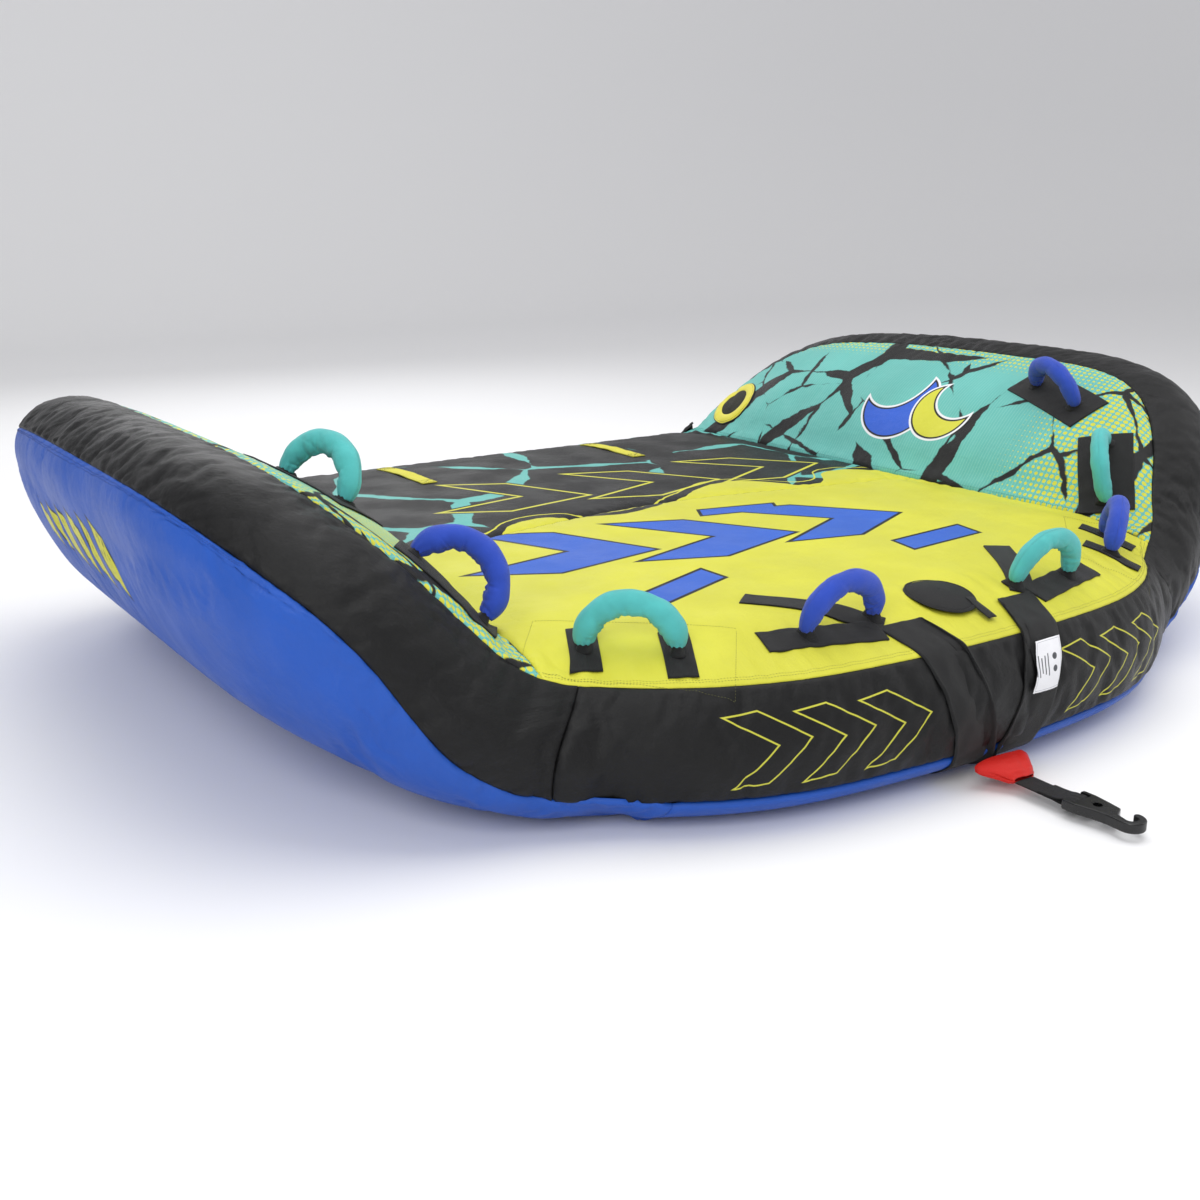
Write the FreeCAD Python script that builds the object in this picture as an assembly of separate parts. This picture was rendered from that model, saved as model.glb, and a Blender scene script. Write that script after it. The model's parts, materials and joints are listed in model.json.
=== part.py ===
"""Towable tube: an inflatable deck with two upswept wings, a zipped cover over welded bladders, eight grips,
a webbing tow harness and a quick tow hook. Millimetres, +Z up, the nose towards -Y, the width along X, and the
origin at the middle of the flat underside. One STEP file per sub-part goes to parts/."""
import FreeCAD, Part
import os
from math import atan2, cos, hypot, pi, radians, sin, sqrt

# ---------------------------------------------------------------- driving dimensions
DECK_THICKNESS = 300.0      # ground to the top of the flat deck
CREASE = 760.0              # half-width of the deck, where each wing turns up
WING_ANGLE = radians(44.6)  # slope of a wing above the deck
BEND_RADIUS = 150.0         # of the flat pattern's plane at the crease
CREASE_VALLEY = 12.0        # how far the cover is pulled in along the crease

# The top seam in the flat pattern, right half, from the nose round to the tail: (distance from the centre line, y).
OUTLINE = [
    (0, -878), (200, -871), (390, -848), (530, -802), (640, -738), (720, -672), (790, -624), (870, -574),
    (983, -515), (1085, -435), (1150, -335), (1180, -200), (1186, 0), (1186, 250), (1176, 470), (1140, 680),
    (1035, 825), (881, 907), (720, 941), (500, 941), (250, 941), (0, 941),
]
NOSE_CORNER, WING_FRONT, WING_REAR, TAIL_CORNER = 5, 8.5, 16, 18  # places along that list

SEAM_DROP = {"nose": 46.0, "tail": 14.0, "wing": 20.0}  # top seam below the flat pattern's plane
BAND_DROP = {"deck": 234.0, "wing": 171.0}              # bottom seam below that plane
BAND_FLARE = {"deck": 26.0, "wing": 99.0}               # bottom seam outside the top seam
BAND_BULGE = {"deck": 24.0, "wing": 38.0}
SHOULDER = 190.0            # width over which the top rounds down to its seam
BILGE = {"deck": 170.0, "wing": 320.0}                  # the same under the body
DECK_CROWN = 6.0
WING_CROWN = 26.0
KEEL_CROWN = 45.0           # extra depth under each wing
FLAT_HALF_WIDTH = 620.0     # the flat face that the tube rests on
FLAT_NOSE, FLAT_TAIL = -700.0, 740.0
REST_RELIEF = 2.5           # the rest of the underside stays this far above that face

SEAM_GAP = 1.6              # between neighbouring panels
SEAM_TUCK = 2.2             # how far each wing's underside lies inside the centre panel at their seam
FABRIC = 1.0                # thickness of the cover
WEBBING = 1.8               # thickness of the webbing and the patches

BLADDER_INSET = 14.0        # the bladders inside the cover
BLADDER_WALL = 0.9
BLADDER_SPLIT = 705.0       # between the deck's bladder and the wings'
BEAM_PLACES = (-560, -340, -115, 115, 340, 560)
BEAM_FRONT, BEAM_REAR = -600.0, 700.0
BEAM_THICKNESS = 0.8

GRIP_RADIUS, GRIP_CORE_RADIUS = 20.0, 13.0
GRIP_SPAN, GRIP_HEIGHT = 152.0, 72.0     # between the feet, and from the feet to the grip's centre line
GRIP_SLEEVE_FOOT = 30.0                  # height at which the padded sleeve starts
GRIP_CORE_FOOT = 3.0                     # height at which the moving webbing starts, above the hinge line
CORE_WIDTH, CORE_THICKNESS = 16.0, 5.0
GRIP_LIFT = 16.0                         # hinge line above the deck's cover
SEWN_END = (CORE_THICKNESS, CORE_WIDTH, 2.8)  # the fixed end of the webbing under each foot
SEWN_END_DEPTH = 8.0                     # its underside below the hinge line, clear of the swinging core
GRIPS = {                                # centre in the flat pattern and direction of the line through the feet
    "centre": ((260, -765), radians(0)),
    "corner": ((612, -652), radians(40)),
    "wing_front": ((874, -468), radians(30)),
    "wing_rear": ((1052, -226), radians(71)),
}
TAB_LENGTH, TAB_WIDTH = 112.0, 50.0
TAB_ANGLE = radians(-62)
PADS = {"wing_front": (212.0, 116.0), "wing_rear": (256.0, 106.0)}
TAB_LIFT, PAD_LIFT = 2.6, 3.2            # undersides of the tabs and the pads above the cover

HARNESS_WIDTH = 100.0
HARNESS_SEAM, HARNESS_KEEL = 122.0, 56.0     # distance of each strap's centre line from the middle, up and down
HARNESS_BACK, HARNESS_UNDER = 80.0, 55.0    # how far it runs over the deck and under the nose
HARNESS_LIFT = 3.4
ARM_WIDTH = 52.0
ARM_LIFTS = (2.6, 5.0)
ARMS = [((182, -792), (332, -598)), ((196, -800), (420, -752))]
LABEL_SIZE = (66.0, 84.0)
LABEL_START = 22.0           # distance from the top seam to the label's upper edge
LABEL_OFFSET, LABEL_LIFT, LABEL_THICKNESS = 12.0, 7.0, 0.5

VALVE_PLACE = (0.0, -752.0)
VALVE_HOLE = 50.0
VALVE_FLANGE_RADIUS, VALVE_NECK_RADIUS, VALVE_BORE_RADIUS = 42.0, 24.0, 19.0
VALVE_DEPTH, VALVE_TOP = -12.0, 2.0          # ends of the valve's base, from the cover's surface
CAP_RADIUS, CAP_PLUG_RADIUS = 25.0, 18.2
CAP_GRIP = (34.0, 5.0, 2.8)
FLAP_RADIUS, FLAP_THICKNESS = 66.0, 2.4
FLAP_RISE, FLAP_CLEARANCE = 11.0, 3.2     # height of the flap above the cover at its middle and rim
FLAP_TAB = (20.0, 92.0, 28.0)             # width, reach from the flap's middle and offset of its pull tab

VENT_PLACE = (868.0, 820.0)
VENT_RADIUS, VENT_MESH_RADIUS = 78.0, 47.0
VENT_LIFT, VENT_RING_THICKNESS, VENT_MESH_THICKNESS = 3.2, 3.0, 1.0
VENT_CLEARANCE = 1.6         # between the ring and its mesh

STRAP_X, STRAP_FRONT, STRAP_REAR, STRAP_WIDTH = 315.0, 590.0, 845.0, 40.0
STRAP_LIFT, STRAP_SLACK = 3.0, 16.0

ZIP_HALF_LENGTH = 430.0
ZIP_OPENING = 7.2            # half of the gap in the rear band that the slider runs in
ZIP_COIL = (4.0, 2.6)        # height of each half and depth
ZIP_DEPTH = 3.0              # the coil's inner face, inside the band's surface
ZIP_TAPE_EDGES = (5.6, 20.0)
ZIP_TAPE_FACES = (-3.0, -1.8)
ZIP_TAPE_END = 0.6           # where the tapes stop, as places along the outline
SEAM_HALF = 0.6              # half of the gap between the coil's halves
SLIDER_X = -ZIP_HALF_LENGTH + 14
SLIDER = (14.0, 1.6, 10.4)   # length along the zip, thickness of each plate and height
PULL_REACH = 4.5             # the pull's pin outside the band's surface


V = FreeCAD.Vector


# ---------------------------------------------------------------- small helpers
def mix(a, b, amount):
    return a + (b - a) * amount


def smooth(x, low, high):
    u = min(max((x - low) / (high - low), 0.0), 1.0)
    return u * u * (3 - 2 * u)


def wingness(s):
    """0 on the deck, 1 on a wing."""
    return smooth(abs(s), CREASE - 60, CREASE + 290)


# ---------------------------------------------------------------- the shape of the body
KNOTS = OUTLINE + [(-s, y) for s, y in reversed(OUTLINE[1:-1])]


def outline(place):
    """Point and outward normal of the top seam in the flat pattern. place counts along OUTLINE and wraps round."""
    count = len(KNOTS)
    i = int(place // 1)
    f = place - i
    before, start, end, after = (KNOTS[(i + k) % count] for k in (-1, 0, 1, 2))
    point, slope = [], []
    for k in (0, 1):
        leave = (end[k] - before[k]) / 2
        arrive = (after[k] - start[k]) / 2
        point.append((2 * f**3 - 3 * f**2 + 1) * start[k] + (f**3 - 2 * f**2 + f) * leave
                     + (3 * f**2 - 2 * f**3) * end[k] + (f**3 - f**2) * arrive)
        slope.append((6 * f**2 - 6 * f) * start[k] + (3 * f**2 - 4 * f + 1) * leave
                     + (6 * f - 6 * f**2) * end[k] + (3 * f**2 - 2 * f) * arrive)
    size = hypot(*slope)
    return point, (slope[1] / size, -slope[0] / size)


def flare(s):
    return mix(BAND_FLARE["deck"], BAND_FLARE["wing"], wingness(s))


def base_outline(place):
    """The bottom seam in the flat pattern."""
    (s, y), (out_s, out_y) = outline(place)
    return s + out_s * flare(s), y + out_y * flare(s)


def solve(function, target, low, high):
    """Where a rising or falling function reaches target between low and high."""
    rising = function(high) > function(low)
    for _ in range(40):
        middle = (low + high) / 2
        if (function(middle) < target) == rising:
            low = middle
        else:
            high = middle
    return (low + high) / 2


def nose_place(s):
    place = solve(lambda p: outline(p)[0][0], abs(s), 0, 7)
    return place if s >= 0 else -place


def nose_y(s):
    return outline(nose_place(s))[0][1]


def tail_y(s):
    return outline(solve(lambda p: outline(p)[0][0], abs(s), 16, 21))[0][1]


def base_nose_y(s):
    return base_outline(solve(lambda p: base_outline(p)[0], abs(s), 0, 7))[1]


def base_tail_y(s):
    return base_outline(solve(lambda p: base_outline(p)[0], abs(s), 16, 21))[1]


def fold(s, y, depth):
    """A point of the flat pattern, depth below its plane, with the wings folded up."""
    start = CREASE - BEND_RADIUS * WING_ANGLE / 2
    side = 1 if s >= 0 else -1
    angle = min(max((abs(s) - start) / BEND_RADIUS, 0.0), WING_ANGLE)
    beyond = max(abs(s) - start - BEND_RADIUS * WING_ANGLE, 0.0)
    x = min(abs(s), start) + BEND_RADIUS * sin(angle) + beyond * cos(angle) + sin(angle) * depth
    z = BEND_RADIUS * (1 - cos(angle)) + beyond * sin(angle) - cos(angle) * depth
    return V(side * x, y, DECK_THICKNESS + z)


TOP_RING = [outline(k / 6)[0] for k in range(6 * len(KNOTS))]
BASE_RING = [base_outline(k / 6) for k in range(6 * len(KNOTS))]


def edge_distance(s, y, ring):
    """Distance from a point of the flat pattern to a closed ring of points."""
    best = 1e9
    for k in range(len(ring)):
        a, b = ring[k - 1], ring[k]
        run, rise = b[0] - a[0], b[1] - a[1]
        along = ((s - a[0]) * run + (y - a[1]) * rise) / (run * run + rise * rise)
        along = min(max(along, 0.0), 1.0)
        best = min(best, hypot(s - a[0] - along * run, y - a[1] - along * rise))
    return best


def seam_drop(s, y):
    deck = mix(SEAM_DROP["nose"], SEAM_DROP["tail"], smooth(y, 100, 800))
    return mix(deck, SEAM_DROP["wing"], wingness(s))


def band_drop(s):
    return mix(BAND_DROP["deck"], BAND_DROP["wing"], wingness(s))


def top_depth(s, y):
    """Depth of the cover's top below the flat pattern's plane."""
    inside = min(edge_distance(s, y, TOP_RING) / SHOULDER, 1.0)
    across = (abs(s) - CREASE) / (1186 - CREASE)
    if across > 0:
        crown = WING_CROWN * sin(pi * min(across, 1.0)) * inside
    else:
        crown = DECK_CROWN * cos(pi / 2 * s / CREASE) * inside
    valley = CREASE_VALLEY * (1 - smooth(abs(abs(s) - CREASE), 0, 95)) * inside
    return seam_drop(s, y) * (1 - inside) ** 2 - crown + valley


def base_depth(s, y):
    """Depth of the cover's underside below the flat pattern's plane."""
    wing = wingness(s)
    inside = min(edge_distance(s, y, BASE_RING) / mix(BILGE["deck"], BILGE["wing"], wing), 1.0)
    across = min(max((abs(s) - CREASE) / 500, 0.0), 1.0)
    relief = REST_RELIEF * smooth(abs(s), FLAT_HALF_WIDTH, FLAT_HALF_WIDTH + 60)
    full = DECK_THICKNESS - relief + KEEL_CROWN * sin(pi * across) * inside
    return mix(band_drop(s), full, sqrt(1 - (1 - inside) ** 2))


def top_point(s, y, lift=0.0):
    return fold(s, y, top_depth(s, y) - lift)


def base_point(s, y, lift=0.0):
    """A point on the underside; lift is inward."""
    return fold(s, y, base_depth(s, y) - lift)


def band_point(place, down, lift=0.0):
    """A point on the side band; down is 0 at the top seam and 1 at the bottom seam, lift is outward."""
    (s, y), (out_s, out_y) = outline(place)
    top, base = seam_drop(s, y), band_drop(s)
    lean = atan2(flare(s), base - top)
    proud = mix(BAND_BULGE["deck"], BAND_BULGE["wing"], wingness(s)) * sin(pi * down) + lift
    out = flare(s) * down + cos(lean) * proud
    return fold(s + out_s * out, y + out_y * out, mix(top, base, down) - sin(lean) * proud)


BAND_HEIGHT = hypot(BAND_DROP["deck"] - SEAM_DROP["nose"], BAND_FLARE["deck"])


def nose_wrap(s, girth):
    """A point on the nose; girth runs over the top (below 0), down the band and under the body."""
    place = nose_place(s)
    if girth <= 0:
        return top_point(s, nose_y(s) - girth)
    if girth <= BAND_HEIGHT:
        return band_point(place, girth / BAND_HEIGHT)
    return base_point(s, base_nose_y(s) + girth - BAND_HEIGHT)


def lifted(surface, a, b, lift, step=12.0):
    """surface(a, b) moved along its own normal."""
    along = surface(a + step, b) - surface(a - step, b)
    across = surface(a, b + step) - surface(a, b - step)
    normal = along.cross(across)
    normal.normalize()
    return surface(a, b) + normal * lift


def top_lifted(s, y, lift):
    return lifted(top_point, s, y, lift)


def wrap_lifted(s, girth, lift):
    return lifted(nose_wrap, s, girth, -lift)


def frame_on_top(s, y, lift=0.0, turn=0.0):
    """Placement on the cover's top: local x along the direction turn in the flat pattern, local z outward."""
    step = 8.0
    origin = top_lifted(s, y, lift)
    x_axis = top_point(s + step * cos(turn), y + step * sin(turn)) - top_point(s - step * cos(turn),
                                                                              y - step * sin(turn))
    x_axis.normalize()
    z_axis = top_lifted(s, y, 10) - top_lifted(s, y, 0)
    z_axis = z_axis - x_axis * z_axis.dot(x_axis)
    z_axis.normalize()
    y_axis = z_axis.cross(x_axis)
    return FreeCAD.Placement(FreeCAD.Matrix(x_axis.x, y_axis.x, z_axis.x, origin.x,
                                            x_axis.y, y_axis.y, z_axis.y, origin.y,
                                            x_axis.z, y_axis.z, z_axis.z, origin.z, 0, 0, 0, 1))


# ---------------------------------------------------------------- making solids
def spline_surface(point, columns, rows):
    grid = [[point(i / columns, j / rows) for j in range(rows + 1)] for i in range(columns + 1)]
    surface = Part.BSplineSurface()
    surface.interpolate(grid)
    return surface


def rim(surface):
    u0, u1, v0, v1 = surface.bounds()
    return [surface.vIso(v0), surface.uIso(u1), surface.vIso(v1), surface.uIso(u0)]


def closed_solid(faces):
    shell = Part.makeShell(faces)
    shell.sewShape()
    solid = Part.makeSolid(Part.Shell(shell.Faces))
    if solid.Volume < 0:
        solid.reverse()
    if not solid.isValid():
        solid.fix(0.01, 0.01, 0.01)
    return solid


def sheet(point, columns, rows):
    """Closed thin solid between the two skins point(u, v, 0) and point(u, v, 1)."""
    low = spline_surface(lambda u, v: point(u, v, 0), columns, rows)
    high = spline_surface(lambda u, v: point(u, v, 1), columns, rows)
    walls = [Part.makeRuledSurface(a.toShape(), b.toShape()) for a, b in zip(rim(low), rim(high))]
    return closed_solid([low.toShape(), high.toShape()] + walls)


def eased(u):
    """Packs grid lines towards both ends, where the surface rounds."""
    return (1 - cos(pi * u)) / 2


def half_eased(u):
    return mix(u, eased(u), 0.5)


def patch(side_a, side_b, side_c, side_d):
    """Plane patch between four curves: a and c run along u at v = 0 and 1, d and b run along v at u = 0 and 1."""
    corner = {(0, 0): side_a(0), (1, 0): side_a(1), (0, 1): side_c(0), (1, 1): side_c(1)}

    def point(u, v):
        value = []
        for k in (0, 1):
            ruled_v = mix(side_a(u)[k], side_c(u)[k], v)
            ruled_u = mix(side_d(v)[k], side_b(v)[k], u)
            corners = mix(mix(corner[0, 0][k], corner[1, 0][k], u), mix(corner[0, 1][k], corner[1, 1][k], u), v)
            value.append(ruled_v + ruled_u - corners)
        return value
    return point


def mirrored(shape):
    return shape.mirror(V(0, 0, 0), V(1, 0, 0))


def placed(shape, placement):
    moved = shape.copy()
    moved.Placement = placement.multiply(moved.Placement)
    return moved


def strip(start, end, width, lift, thickness=WEBBING):
    """Flat webbing that lies lift above the cover's top, between two places of the flat pattern."""
    run, rise = end[0] - start[0], end[1] - start[1]
    length = hypot(run, rise)

    def point(u, v, skin):
        side = (v - 0.5) * width
        s = start[0] + run * u - rise / length * side
        y = start[1] + rise * u + run / length * side
        return top_lifted(s, y, lift + thickness * skin)
    return sheet(point, max(6, int(length / 16)), 4)


# ---------------------------------------------------------------- cover panels
def inset_outline(place, gap=SEAM_GAP):
    (s, y), (out_s, out_y) = outline(place)
    return s - out_s * gap, y - out_y * gap


def divide_y(s):
    """Where the front deck panel meets the rear one."""
    return mix(40, 120, (1 + cos(pi * s / CREASE)) / 2)


def deck_panel(front, rear):
    def point(u, v, skin):
        s = mix(-CREASE + SEAM_GAP, CREASE - SEAM_GAP, eased(u))
        y = mix(front(s) + SEAM_GAP, rear(s) - SEAM_GAP, eased(v))
        return top_point(s, y, FABRIC * skin)
    return sheet(point, 32, 18)


def deck_front_panel():
    hole = Part.makeCylinder(VALVE_HOLE, 60, V(0, 0, -30))
    return deck_panel(nose_y, divide_y).cut(placed(hole, frame_on_top(*VALVE_PLACE)))


def deck_rear_panel():
    return deck_panel(divide_y, tail_y)


def wing_panel():
    start = solve(lambda p: inset_outline(p)[0], CREASE + SEAM_GAP, 4, 8)
    end = solve(lambda p: inset_outline(p)[0], CREASE + SEAM_GAP, 16, 20)
    front, rear = inset_outline(start)[1], inset_outline(end)[1]
    pattern = patch(lambda u: (CREASE + SEAM_GAP, mix(front, rear, u)),
                    lambda v: inset_outline(mix(end, WING_REAR, v)),
                    lambda u: inset_outline(mix(WING_FRONT, WING_REAR, u)),
                    lambda v: inset_outline(mix(start, WING_FRONT, v)))
    return sheet(lambda u, v, skin: top_point(*pattern(half_eased(u), half_eased(v)), FABRIC * skin), 32, 16)


def band(first, last, top, base, columns, rows=10, low=0.0, high=FABRIC):
    def point(u, v, skin):
        return band_point(mix(first, last, u), mix(top, base, v), mix(low, high, skin))
    return sheet(point, columns, rows)


EDGE = SEAM_GAP / 190          # a seam's gap as a share of the band's height
JOIN = 0.012                   # the same along the outline


def band_front():
    return band(-NOSE_CORNER + JOIN, NOSE_CORNER - JOIN, EDGE, 1 - EDGE, 30)


def band_side():
    return band(NOSE_CORNER + JOIN, TAIL_CORNER - JOIN, EDGE, 1 - EDGE, 52)


TAIL_START, TAIL_END = TAIL_CORNER + JOIN, len(KNOTS) - TAIL_CORNER - JOIN
TAIL_MIDDLE = len(KNOTS) / 2
REAR_HEIGHT = hypot(BAND_DROP["deck"] - SEAM_DROP["tail"], BAND_FLARE["deck"])
ZIP_SHARE = ZIP_OPENING / REAR_HEIGHT


def band_rear_upper():
    return band(TAIL_START, TAIL_END, EDGE, 0.5 - ZIP_SHARE, 24, 6)


def band_rear_lower():
    return band(TAIL_START, TAIL_END, 0.5 + ZIP_SHARE, 1 - EDGE, 24, 6)


def bottom_centre_panel():
    """Flat underside with its nose and tail rolled up to the bottom seam: one solid of three strips."""
    left, right = -FLAT_HALF_WIDTH, FLAT_HALF_WIDTH

    def end_point(flat, rim_y, push, lift):
        def point(u, v):
            s = mix(left, right, u)
            y = mix(flat, rim_y(s) + push, sin(pi / 2 * v))
            return base_point(s, y, lift) if v > 0 else V(s, flat, lift)
        return point

    ends = [(FLAT_NOSE, base_nose_y, SEAM_GAP), (FLAT_TAIL, base_tail_y, -SEAM_GAP)]
    faces = []
    for lift in (0.0, FABRIC):
        corners = [V(left, FLAT_NOSE, lift), V(right, FLAT_NOSE, lift), V(right, FLAT_TAIL, lift),
                   V(left, FLAT_TAIL, lift)]
        faces.append(Part.Face(Part.makePolygon(corners + corners[:1])))
    for flat, rim_y, push in ends:
        skins = [spline_surface(end_point(flat, rim_y, push, lift), 20, 12) for lift in (0.0, FABRIC)]
        faces += [skin.toShape() for skin in skins]
        low, high = (rim(skin) for skin in skins)
        faces += [Part.makeRuledSurface(low[k].toShape(), high[k].toShape()) for k in (1, 2, 3)]
    for x in (left, right):
        corners = [V(x, FLAT_NOSE, 0), V(x, FLAT_TAIL, 0), V(x, FLAT_TAIL, FABRIC), V(x, FLAT_NOSE, FABRIC)]
        faces.append(Part.Face(Part.makePolygon(corners + corners[:1])))
    return closed_solid(faces)


def girth_of(s):
    """Distance from the centre line along the underside, which turns the bend on a larger radius."""
    start = CREASE - BEND_RADIUS * WING_ANGLE / 2
    stretch = (BEND_RADIUS + DECK_THICKNESS) / BEND_RADIUS
    bend = min(max(s - start, 0.0), BEND_RADIUS * WING_ANGLE)
    return s + bend * (stretch - 1)


def pattern_of(girth):
    return solve(girth_of, girth, 0, 1500)


def bottom_wing_panel():
    inner = FLAT_HALF_WIDTH + SEAM_GAP

    def seam(place):
        (s, y), (out_s, out_y) = outline(place)
        out = flare(s) - SEAM_GAP
        return girth_of(s + out_s * out), y + out_y * out

    start = solve(lambda p: seam(p)[0], inner, 2, 8)
    end = solve(lambda p: seam(p)[0], inner, 16, 20)
    front, rear = seam(start)[1], seam(end)[1]
    pattern = patch(lambda u: (inner, mix(front, rear, u)),
                    lambda v: seam(mix(end, WING_REAR, v)),
                    lambda u: seam(mix(WING_FRONT, WING_REAR, u)),
                    lambda v: seam(mix(start, WING_FRONT, v)))

    def point(u, v, skin):
        girth, y = pattern(half_eased(u), mix(v, sin(pi / 2 * v), 0.6))
        return base_point(pattern_of(girth), y, SEAM_TUCK + FABRIC * skin)
    return sheet(point, 36, 24)


# ---------------------------------------------------------------- bladders
def ring_loft(rings):
    wires = []
    for ring in rings:
        curve = Part.BSplineCurve()
        curve.interpolate(Points=ring, PeriodicFlag=True)
        wires.append(Part.Wire(curve.toShape()))
    return Part.makeLoft(wires, True, False)


def deck_ring(x, inset):
    """Closed cross-section of the deck at x, inside the cover."""
    nose, tail = nose_y(x) + 1.5 * inset, tail_y(x) - 1.5 * inset
    low_nose, low_tail = base_nose_y(x) + 2.5 * inset, base_tail_y(x) - 2.5 * inset
    over = [mix(nose, tail, eased(k / 12)) for k in range(13)]
    under = [mix(low_tail, low_nose, eased(k / 12)) for k in range(13)]
    points = [V(x, y, top_point(x, y).z - inset) for y in over]
    tail_side = band_point(solve(lambda p: outline(p)[0][0], abs(x), 16, 21), 0.5)
    points.append(V(x, tail_side.y - inset, tail_side.z))
    points += [V(x, y, base_point(x, y).z + inset) for y in under]
    nose_side = band_point(nose_place(abs(x)), 0.5)
    points.append(V(x, nose_side.y + inset, nose_side.z))
    return points


def bladder_centre():
    places = (-1.0, -0.87, -0.72, -0.53, -0.28, 0, 0.28, 0.53, 0.72, 0.87, 1.0)
    half = BLADDER_SPLIT - 8
    outer = ring_loft([deck_ring(half * p, BLADDER_INSET) for p in places])
    inner = ring_loft([deck_ring((half - BLADDER_WALL) * p, BLADDER_INSET + BLADDER_WALL) for p in places])
    return outer.cut(inner)


def wing_ring(y, inset):
    """Closed cross-section of the right wing at y, inside the cover."""
    inner = BLADDER_SPLIT + inset
    edge_place = solve(lambda p: outline(p)[0][1], y, 6, 18)
    rim_s = outline(edge_place)[0][0]
    base_s = base_outline(solve(lambda p: base_outline(p)[1], y, 6, 18))[0]
    over = [mix(inner, rim_s - inset, eased(k / 9)) for k in range(10)]
    low, high = girth_of(inner), girth_of(base_s - 1.5 * inset)
    under = [pattern_of(mix(high, low, eased(k / 12))) for k in range(13)]
    middle = fold(mix(rim_s, base_s, 0.5) + 18 - inset, y, mix(seam_drop(rim_s, y), band_drop(rim_s), 0.5))
    points = [fold(s, y, top_depth(s, y) + inset) for s in over]
    points.append(middle)
    points += [fold(s, y, base_depth(s, y) - inset) for s in under]
    points.append(fold(inner, y, DECK_THICKNESS / 2))
    return points


def wing_bladder():
    stations = (-545, -470, -360, -220, 0, 220, 440, 620, 740, 820)
    first, last = stations[0], stations[-1]
    outer = ring_loft([wing_ring(y, BLADDER_INSET) for y in stations])
    shrink = (last - first - 2 * BLADDER_WALL) / (last - first)
    inside = [first + BLADDER_WALL + (y - first) * shrink for y in stations]
    inner = ring_loft([wing_ring(y, BLADDER_INSET + BLADDER_WALL) for y in inside])
    return outer.cut(inner)


def deck_beams():
    """Webs that hold the deck's bladder flat, with a gap at each end for the air."""
    beams = []
    reach = BLADDER_INSET + BLADDER_WALL + 3
    for x in BEAM_PLACES:
        ys = [mix(BEAM_FRONT, BEAM_REAR, k / 8) for k in range(9)]
        over = [V(x, y, top_point(x, y).z - reach) for y in ys]
        under = [V(x, y, base_point(x, y).z + reach) for y in reversed(ys)]
        face = Part.Face(Part.makePolygon(over + under + over[:1]))
        beams.append(face.extrude(V(BEAM_THICKNESS, 0, 0)))
    return Part.makeCompound(beams)


# ---------------------------------------------------------------- grips
def grip_arc():
    """Radius and centre height of the grip's centre line, in the plane that stands on its feet."""
    radius = ((GRIP_SPAN / 2) ** 2 + GRIP_HEIGHT**2) / (2 * GRIP_HEIGHT)
    return radius, GRIP_HEIGHT - radius


def arc_angle(height):
    radius, centre = grip_arc()
    return atan2(height - centre, sqrt(radius**2 - (height - centre) ** 2))


def bent_bar(section, foot):
    """A section on the local XZ plane's arc, swept from one foot's height over to the other's."""
    radius, centre = grip_arc()
    start = arc_angle(foot)
    sweep = 180 - 2 * start * 180 / pi
    face = Part.Face(section)
    face.translate(V(radius, 0, centre))
    face.rotate(V(0, 0, centre), V(0, 1, 0), -start * 180 / pi)
    return face.revolve(V(0, 0, centre), V(0, 1, 0), -sweep)


def circle_wire(radius):
    return Part.Wire(Part.makeCircle(radius, V(0, 0, 0), V(0, 0, 1)))


def grip_sleeve():
    outer = bent_bar(circle_wire(GRIP_RADIUS), GRIP_SLEEVE_FOOT)
    return outer.cut(bent_bar(circle_wire(GRIP_CORE_RADIUS), GRIP_SLEEVE_FOOT))


def grip_core():
    half_t, half_w = CORE_THICKNESS / 2, CORE_WIDTH / 2
    corners = [V(-half_t, -half_w, 0), V(half_t, -half_w, 0), V(half_t, half_w, 0), V(-half_t, half_w, 0)]
    return bent_bar(Part.makePolygon(corners + corners[:1]), GRIP_CORE_FOOT)


def grip_frame(name):
    (s, y), turn = GRIPS[name]
    return frame_on_top(s, y, GRIP_LIFT, turn)


def foot_places(name):
    (s, y), turn = GRIPS[name]
    reach = GRIP_SPAN / 2
    return [(s + k * reach * cos(turn), y + k * reach * sin(turn)) for k in (-1, 1)]


def foot_blocks(name):
    """The sewn end of the webbing under each foot."""
    frame = grip_frame(name)
    length, width, height = SEWN_END
    corners = [V(k * GRIP_SPAN / 2 - length / 2, -width / 2, -SEWN_END_DEPTH) for k in (-1, 1)]
    return [placed(Part.makeBox(length, width, height, corner), frame) for corner in corners]


def corner_tabs():
    tabs = []
    for s, y in foot_places("corner"):
        reach = TAB_LENGTH / 2
        start = (s - reach * cos(TAB_ANGLE) * 0.9, y - reach * sin(TAB_ANGLE) * 0.9)
        end = (s + reach * cos(TAB_ANGLE) * 1.1, y + reach * sin(TAB_ANGLE) * 1.1)
        tabs.append(strip(start, end, TAB_WIDTH, TAB_LIFT))
    return Part.makeCompound(tabs + foot_blocks("corner"))


def centre_tabs():
    return Part.makeCompound(foot_blocks("centre"))


def wing_pad(name):
    (s, y), turn = GRIPS[name]
    length, width = PADS[name]
    reach = length / 2
    ends = [(s + k * reach * cos(turn), y + k * reach * sin(turn)) for k in (-1, 1)]
    return Part.makeCompound([strip(ends[0], ends[1], width, PAD_LIFT)] + foot_blocks(name))


# ---------------------------------------------------------------- harness, label and boarding straps
def harness_centre(girth):
    """The tow strap's centre line: it slants down the band and runs straight under the body."""
    return mix(HARNESS_SEAM, HARNESS_KEEL, min(girth / BAND_HEIGHT, 1.0))


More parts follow.
